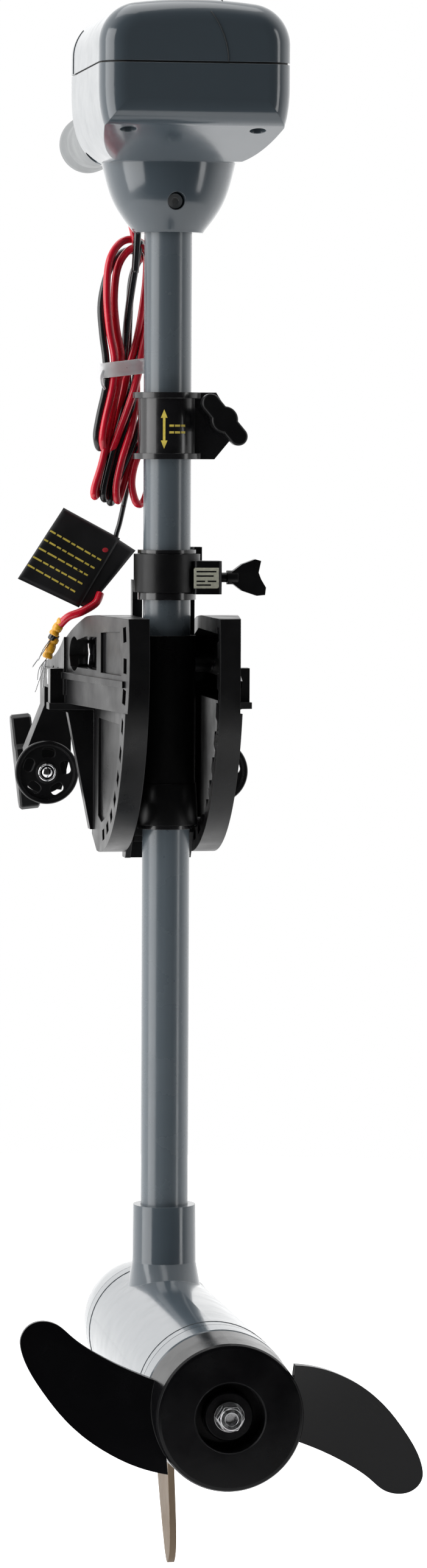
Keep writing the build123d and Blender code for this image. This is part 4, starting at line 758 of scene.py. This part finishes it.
def build_head_lines():
    """Styling grooves of the head: one down the aft face and over the top, one on the port side."""
    above = 373.6
    aft = [(17.6 - 1.5 * (t / 11.0) ** 2, -300, above + t) for t in (k * 0.75 for k in range(39))]
    surface_line("head_groove_aft", "head_top_cover", aft, (0, 1, 0))
    over = [(15.6, -104 + k * 3.0, 450) for k in range(40)]
    surface_line("head_groove_top", "head_top_cover", over, (0, 0, -1))
    side = [(-300, 12 - 3.2 * (t / 28) ** 2, above + t) for t in (k * 0.7 for k in range(38))]
    surface_line("head_groove_port", "head_top_cover", side, (1, 0, 0))


# The motor pod's axis, and the middle of each clamp pad's aft face
POD_Z = -391.4
PAD_X, PAD_Y, PAD_Z = 54.0, 144.0, -53.7


def build_pod_lines():
    """Fine joint lines round the motor pod."""
    for name, y, radius in (("pod_line_aft", -186.0, 43.36), ("pod_line_front", 36.0, 40.68)):
        mesh = bmesh.new()
        path = placed([(radius * math.sin(a), y, POD_Z + radius * math.cos(a)) for a in circle(96)])
        tube(mesh, path, 0.28 * MM, 8, closed=True)
        new_piece(name, mesh, GROOVE, "shaft_assembly")


def build_pad_rivets():
    """Domed end of the swivel in the middle of each clamp pad, on a thin washer."""
    for side, x in (("left", -PAD_X), ("right", PAD_X)):
        mesh = bmesh.new()
        turned(mesh, place((x, PAD_Y, PAD_Z)), dome(3.4, 1.53, 0.6), sides=36)
        ring = placed([(x + 5.0 * math.cos(a), PAD_Y + 0.1, PAD_Z + 5.0 * math.sin(a))
                       for a in circle(36)])
        tube(mesh, ring, 0.7 * MM, 10, closed=True)
        new_piece(f"{side}_pad_rivet", mesh, CHROME, f"{side}_pad")


build_cables()
build_pad_rivets()
build_tie()
build_tag()
build_lead()
build_crimps()
build_arrow()
build_label()
build_head_lines()
build_pod_lines()


# ------------------------------------------------------------------------------------------
# Studio: floor, light and camera
# ------------------------------------------------------------------------------------------
FLOOR_Z = cad_box[0][2] - 0.004
# Radius and drop of each ring, in metres
FLOOR_RINGS = ((0.3, 0.0), (0.7, 0.0), (1.1, 0.001), (1.3, 0.004))
WHITE = (1.0, 1.0, 1.0, 1.0)


def build_floor():
    """Round pale floor, dished very slightly at its rim."""
    mesh = bmesh.new()
    middle = Vector((0.0, SHAFT_Y + 0.55, FLOOR_Z))
    rings = [[mesh.verts.new(middle + Vector((radius * math.cos(a), radius * math.sin(a), -drop)))
              for a in circle(64)] for radius, drop in FLOOR_RINGS]
    mesh.faces.new(rings[0])
    for inner, outer in zip(rings, rings[1:]):
        bridge(mesh, outer, inner)
    m = Shader("floor_paper", (0.90, 0.90, 0.90), 0.8, specular=0.1)
    m.variation(0.01, 1.5)
    m.set("Emission Color", WHITE)
    seen = m.node("ShaderNodeLightPath").outputs["Is Camera Ray"]
    m.link(m.ramp(seen, 0.0, 1.0, 0.3, 1.0), "Emission Strength")
    new_object("studio_floor", mesh, m.mat)


def build_world():
    """White studio all round, but dark behind the camera, so that faces towards it stay dark."""
    world = bpy.data.worlds.new("studio")
    bpy.context.scene.world = world
    world.use_nodes = True
    tree = world.node_tree
    background = tree.nodes["Background"]
    background.inputs["Color"].default_value = WHITE
    coord = tree.nodes.new("ShaderNodeTexCoord")
    split = tree.nodes.new("ShaderNodeSeparateXYZ")
    tree.links.new(coord.outputs["Generated"], split.inputs["Vector"])
    ramp = tree.nodes.new("ShaderNodeMapRange")
    ramp.interpolation_type = "SMOOTHSTEP"
    for key, value in (("From Min", -0.62), ("From Max", 0.25), ("To Min", 0.02), ("To Max", 1.35)):
        ramp.inputs[key].default_value = value
    tree.links.new(split.outputs["Y"], ramp.inputs["Value"])
    seen = tree.nodes.new("ShaderNodeLightPath")
    choose = tree.nodes.new("ShaderNodeMix")
    tree.links.new(seen.outputs["Is Camera Ray"], choose.inputs[0])
    tree.links.new(ramp.outputs["Result"], choose.inputs[2])
    choose.inputs[3].default_value = 1.0
    tree.links.new(choose.outputs[0], background.inputs["Strength"])


def area_light(name, spot, size, power):
    """Soft light aimed at the middle of the shaft."""
    data = bpy.data.lights.new(name, "AREA")
    data.shape = "RECTANGLE"
    data.size, data.size_y = size
    data.energy = power
    light = bpy.data.objects.new(name, data)
    bpy.context.scene.collection.objects.link(light)
    light.location = spot
    aim = Vector((0.0, SHAFT_Y, 0.0)) - Vector(spot)
    light.rotation_euler = aim.to_track_quat("-Z", "Y").to_euler()


def build_lights():
    area_light("left_softbox", (-1.9, SHAFT_Y - 0.5, 0.3), (1.6, 2.2), 34.0)
    area_light("right_strip", (1.5, SHAFT_Y - 1.0, 0.2), (0.35, 2.0), 7.0)
    area_light("top_softbox", (-0.2, SHAFT_Y + 0.2, 2.0), (1.6, 1.6), 14.0)


PHOTO_HEIGHT = 2576.0
FOCAL_SHARE = 8590.0 / PHOTO_HEIGHT
SENSOR = 36.0
CAMERA_OFFSET = Vector((-0.466, -3.115, 0.153))
CAMERA_PITCH = math.radians(-3.72)
CAMERA_YAW = math.radians(9.03)
CAMERA_ROLL = math.radians(0.275)


def build_camera():
    """Long lens from astern and a little to port, looking slightly down."""
    data = bpy.data.cameras.new("camera")
    data.sensor_width = SENSOR
    data.lens = FOCAL_SHARE * SENSOR
    data.clip_end = 60.0
    camera = bpy.data.objects.new("camera", data)
    bpy.context.scene.collection.objects.link(camera)
    spot = Vector((0, SHAFT_Y, 0)) + CAMERA_OFFSET
    level = math.cos(CAMERA_PITCH)
    view = Vector((math.sin(CAMERA_YAW) * level, math.cos(CAMERA_YAW) * level,
                   math.sin(CAMERA_PITCH)))
    look = view.to_track_quat("-Z", "Y").to_matrix().to_4x4()
    camera.matrix_world = Matrix.Translation(spot) @ look @ Matrix.Rotation(CAMERA_ROLL, 4, "Z")
    bpy.context.scene.camera = camera


build_floor()
build_world()
build_lights()
build_camera()
bpy.context.scene.view_settings.view_transform = "Standard"
bpy.context.scene.view_settings.look = "None"
